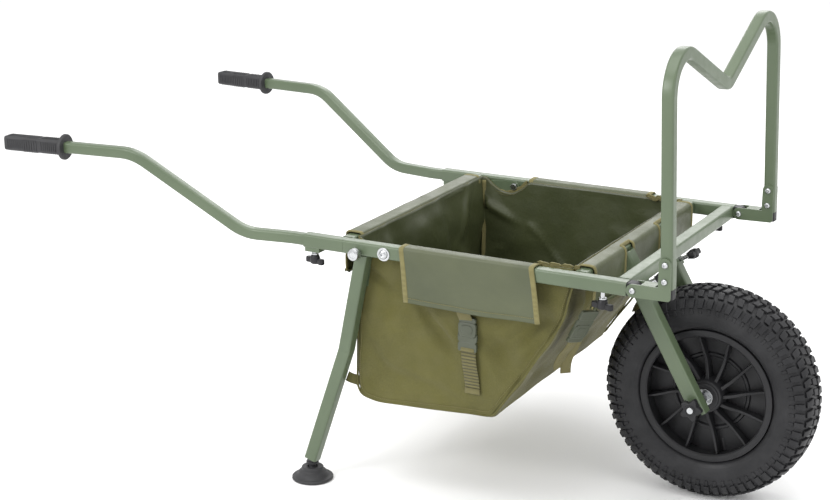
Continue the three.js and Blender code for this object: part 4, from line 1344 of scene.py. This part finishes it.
def side_straps():
    for hand, side in SIDES:
        def out(x, z, lift):
            return (x, panel_y(side, x, z) + side * lift, z)

        def webbing_run(part, places, width, material, thickness=2.0):
            """A strap on the side panel through places of x, height and how far it stands off."""
            points = [out(*place) for place in places]
            return strap(f"side_strap_{part}_{hand}", points, width, Y * side, material, thickness)
        place = place_at(at(*out(193, 330, 7)), Y * side, X * side)
        clasp = buckle(f"side_buckle_{hand}", place, "frame")
        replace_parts(clasp, f"side_strap_{hand}")
        loop = webbing_run("loop", [(187, 394, 26), (188, 374, 17), (190, 358, 9), (190, 351, 6)], 27, STRAP)
        tail = webbing_run("tail", [(194, 306, 4), (195, 296, 7), (197, 275, 8), (200, 250, 5),
                                    (202, 226, 3), (202, 218, 3)], 29, RIBBED, 2.2)
        fold = webbing_run("fold", [(194, 306, 9), (194, 299, 10)], 28, STRAP, 3.0)
        patch = webbing_run("end", [(202, 229, 4.6), (202, 219, 5)], 30, STRAP)
        for piece in (clasp, loop, tail, fold, patch):
            folds_with_leg(piece)
        points = [(x, side * y, z) for x, y, z in ANCHOR_TIE]
        tie = strap(f"anchor_tie_{hand}", points, 20, Vector((0.3, side, 0)).normalized(), CLOTH)
        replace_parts(tie, f"anchor_strap_{hand}")
        folds_with_leg(tie)


def front_straps():
    """Two straps run from the front panel up to the flap over the inner tube."""
    up = Vector((0.44, 0, 0.9))
    for hand, side in SIDES:
        out = Vector((0.8, side * 0.42, -0.42)).normalized()
        aside = Vector((0.6, side * 0.7, 0)).normalized()
        rise = (up - out * up.dot(out)).normalized()
        y = side * 224
        buckle(f"front_buckle_{hand}", place_at(at(392, y, 364), out, rise.cross(out)), "frame", 1.08)
        runs = (("top", STRAP_TOP, 26, out), ("low", STRAP_LOW, 25, out), ("end", STRAP_END, 20, aside))
        for part, places, width, normal in runs:
            points = [(x, side * y, z) for x, y, z in places]
            strap(f"front_strap_{part}_{hand}", points, width, normal, STRAP)


# ---- build ----
camera()
studio()
floor()
PAINT = green_paint()
ZINC = bright_zinc()
PLASTIC = black_plastic()
RUBBER = black_rubber()
TYRE = tyre_rubber()
CLOTH = bag_cloth()
LINING = bag_lining()
FLAP = flap_cloth()
BINDING = webbing("edge_binding", (0.12, 0.105, 0.035), (0.2, 0.18, 0.07))
THREAD = webbing("thread", (0.15, 0.135, 0.05), (0.22, 0.2, 0.08))
STRAP = webbing("strap_webbing", (0.09, 0.08, 0.028), (0.15, 0.135, 0.05))
RIBBED = webbing("ribbed_webbing", (0.095, 0.086, 0.03), (0.165, 0.15, 0.058), "Z")
BUCKLE = buckle_plastic()
painted_frame()
cheek_bolts()
leg_bolts()
lock_pins()
wing_knobs()
star_knobs()
feet()
grips()
tyre_carcass()
tread()
rim()
bag()
seams()
rim_binding()
cross_flap("rear_flap", REAR_WRAP, 243, 3)
cross_flap("front_flap", FRONT_WRAP, 243, 3, [SOCKET_NOTCH])
for hand, side in SIDES:
    side_flap(hand, side)
side_straps()
front_straps()
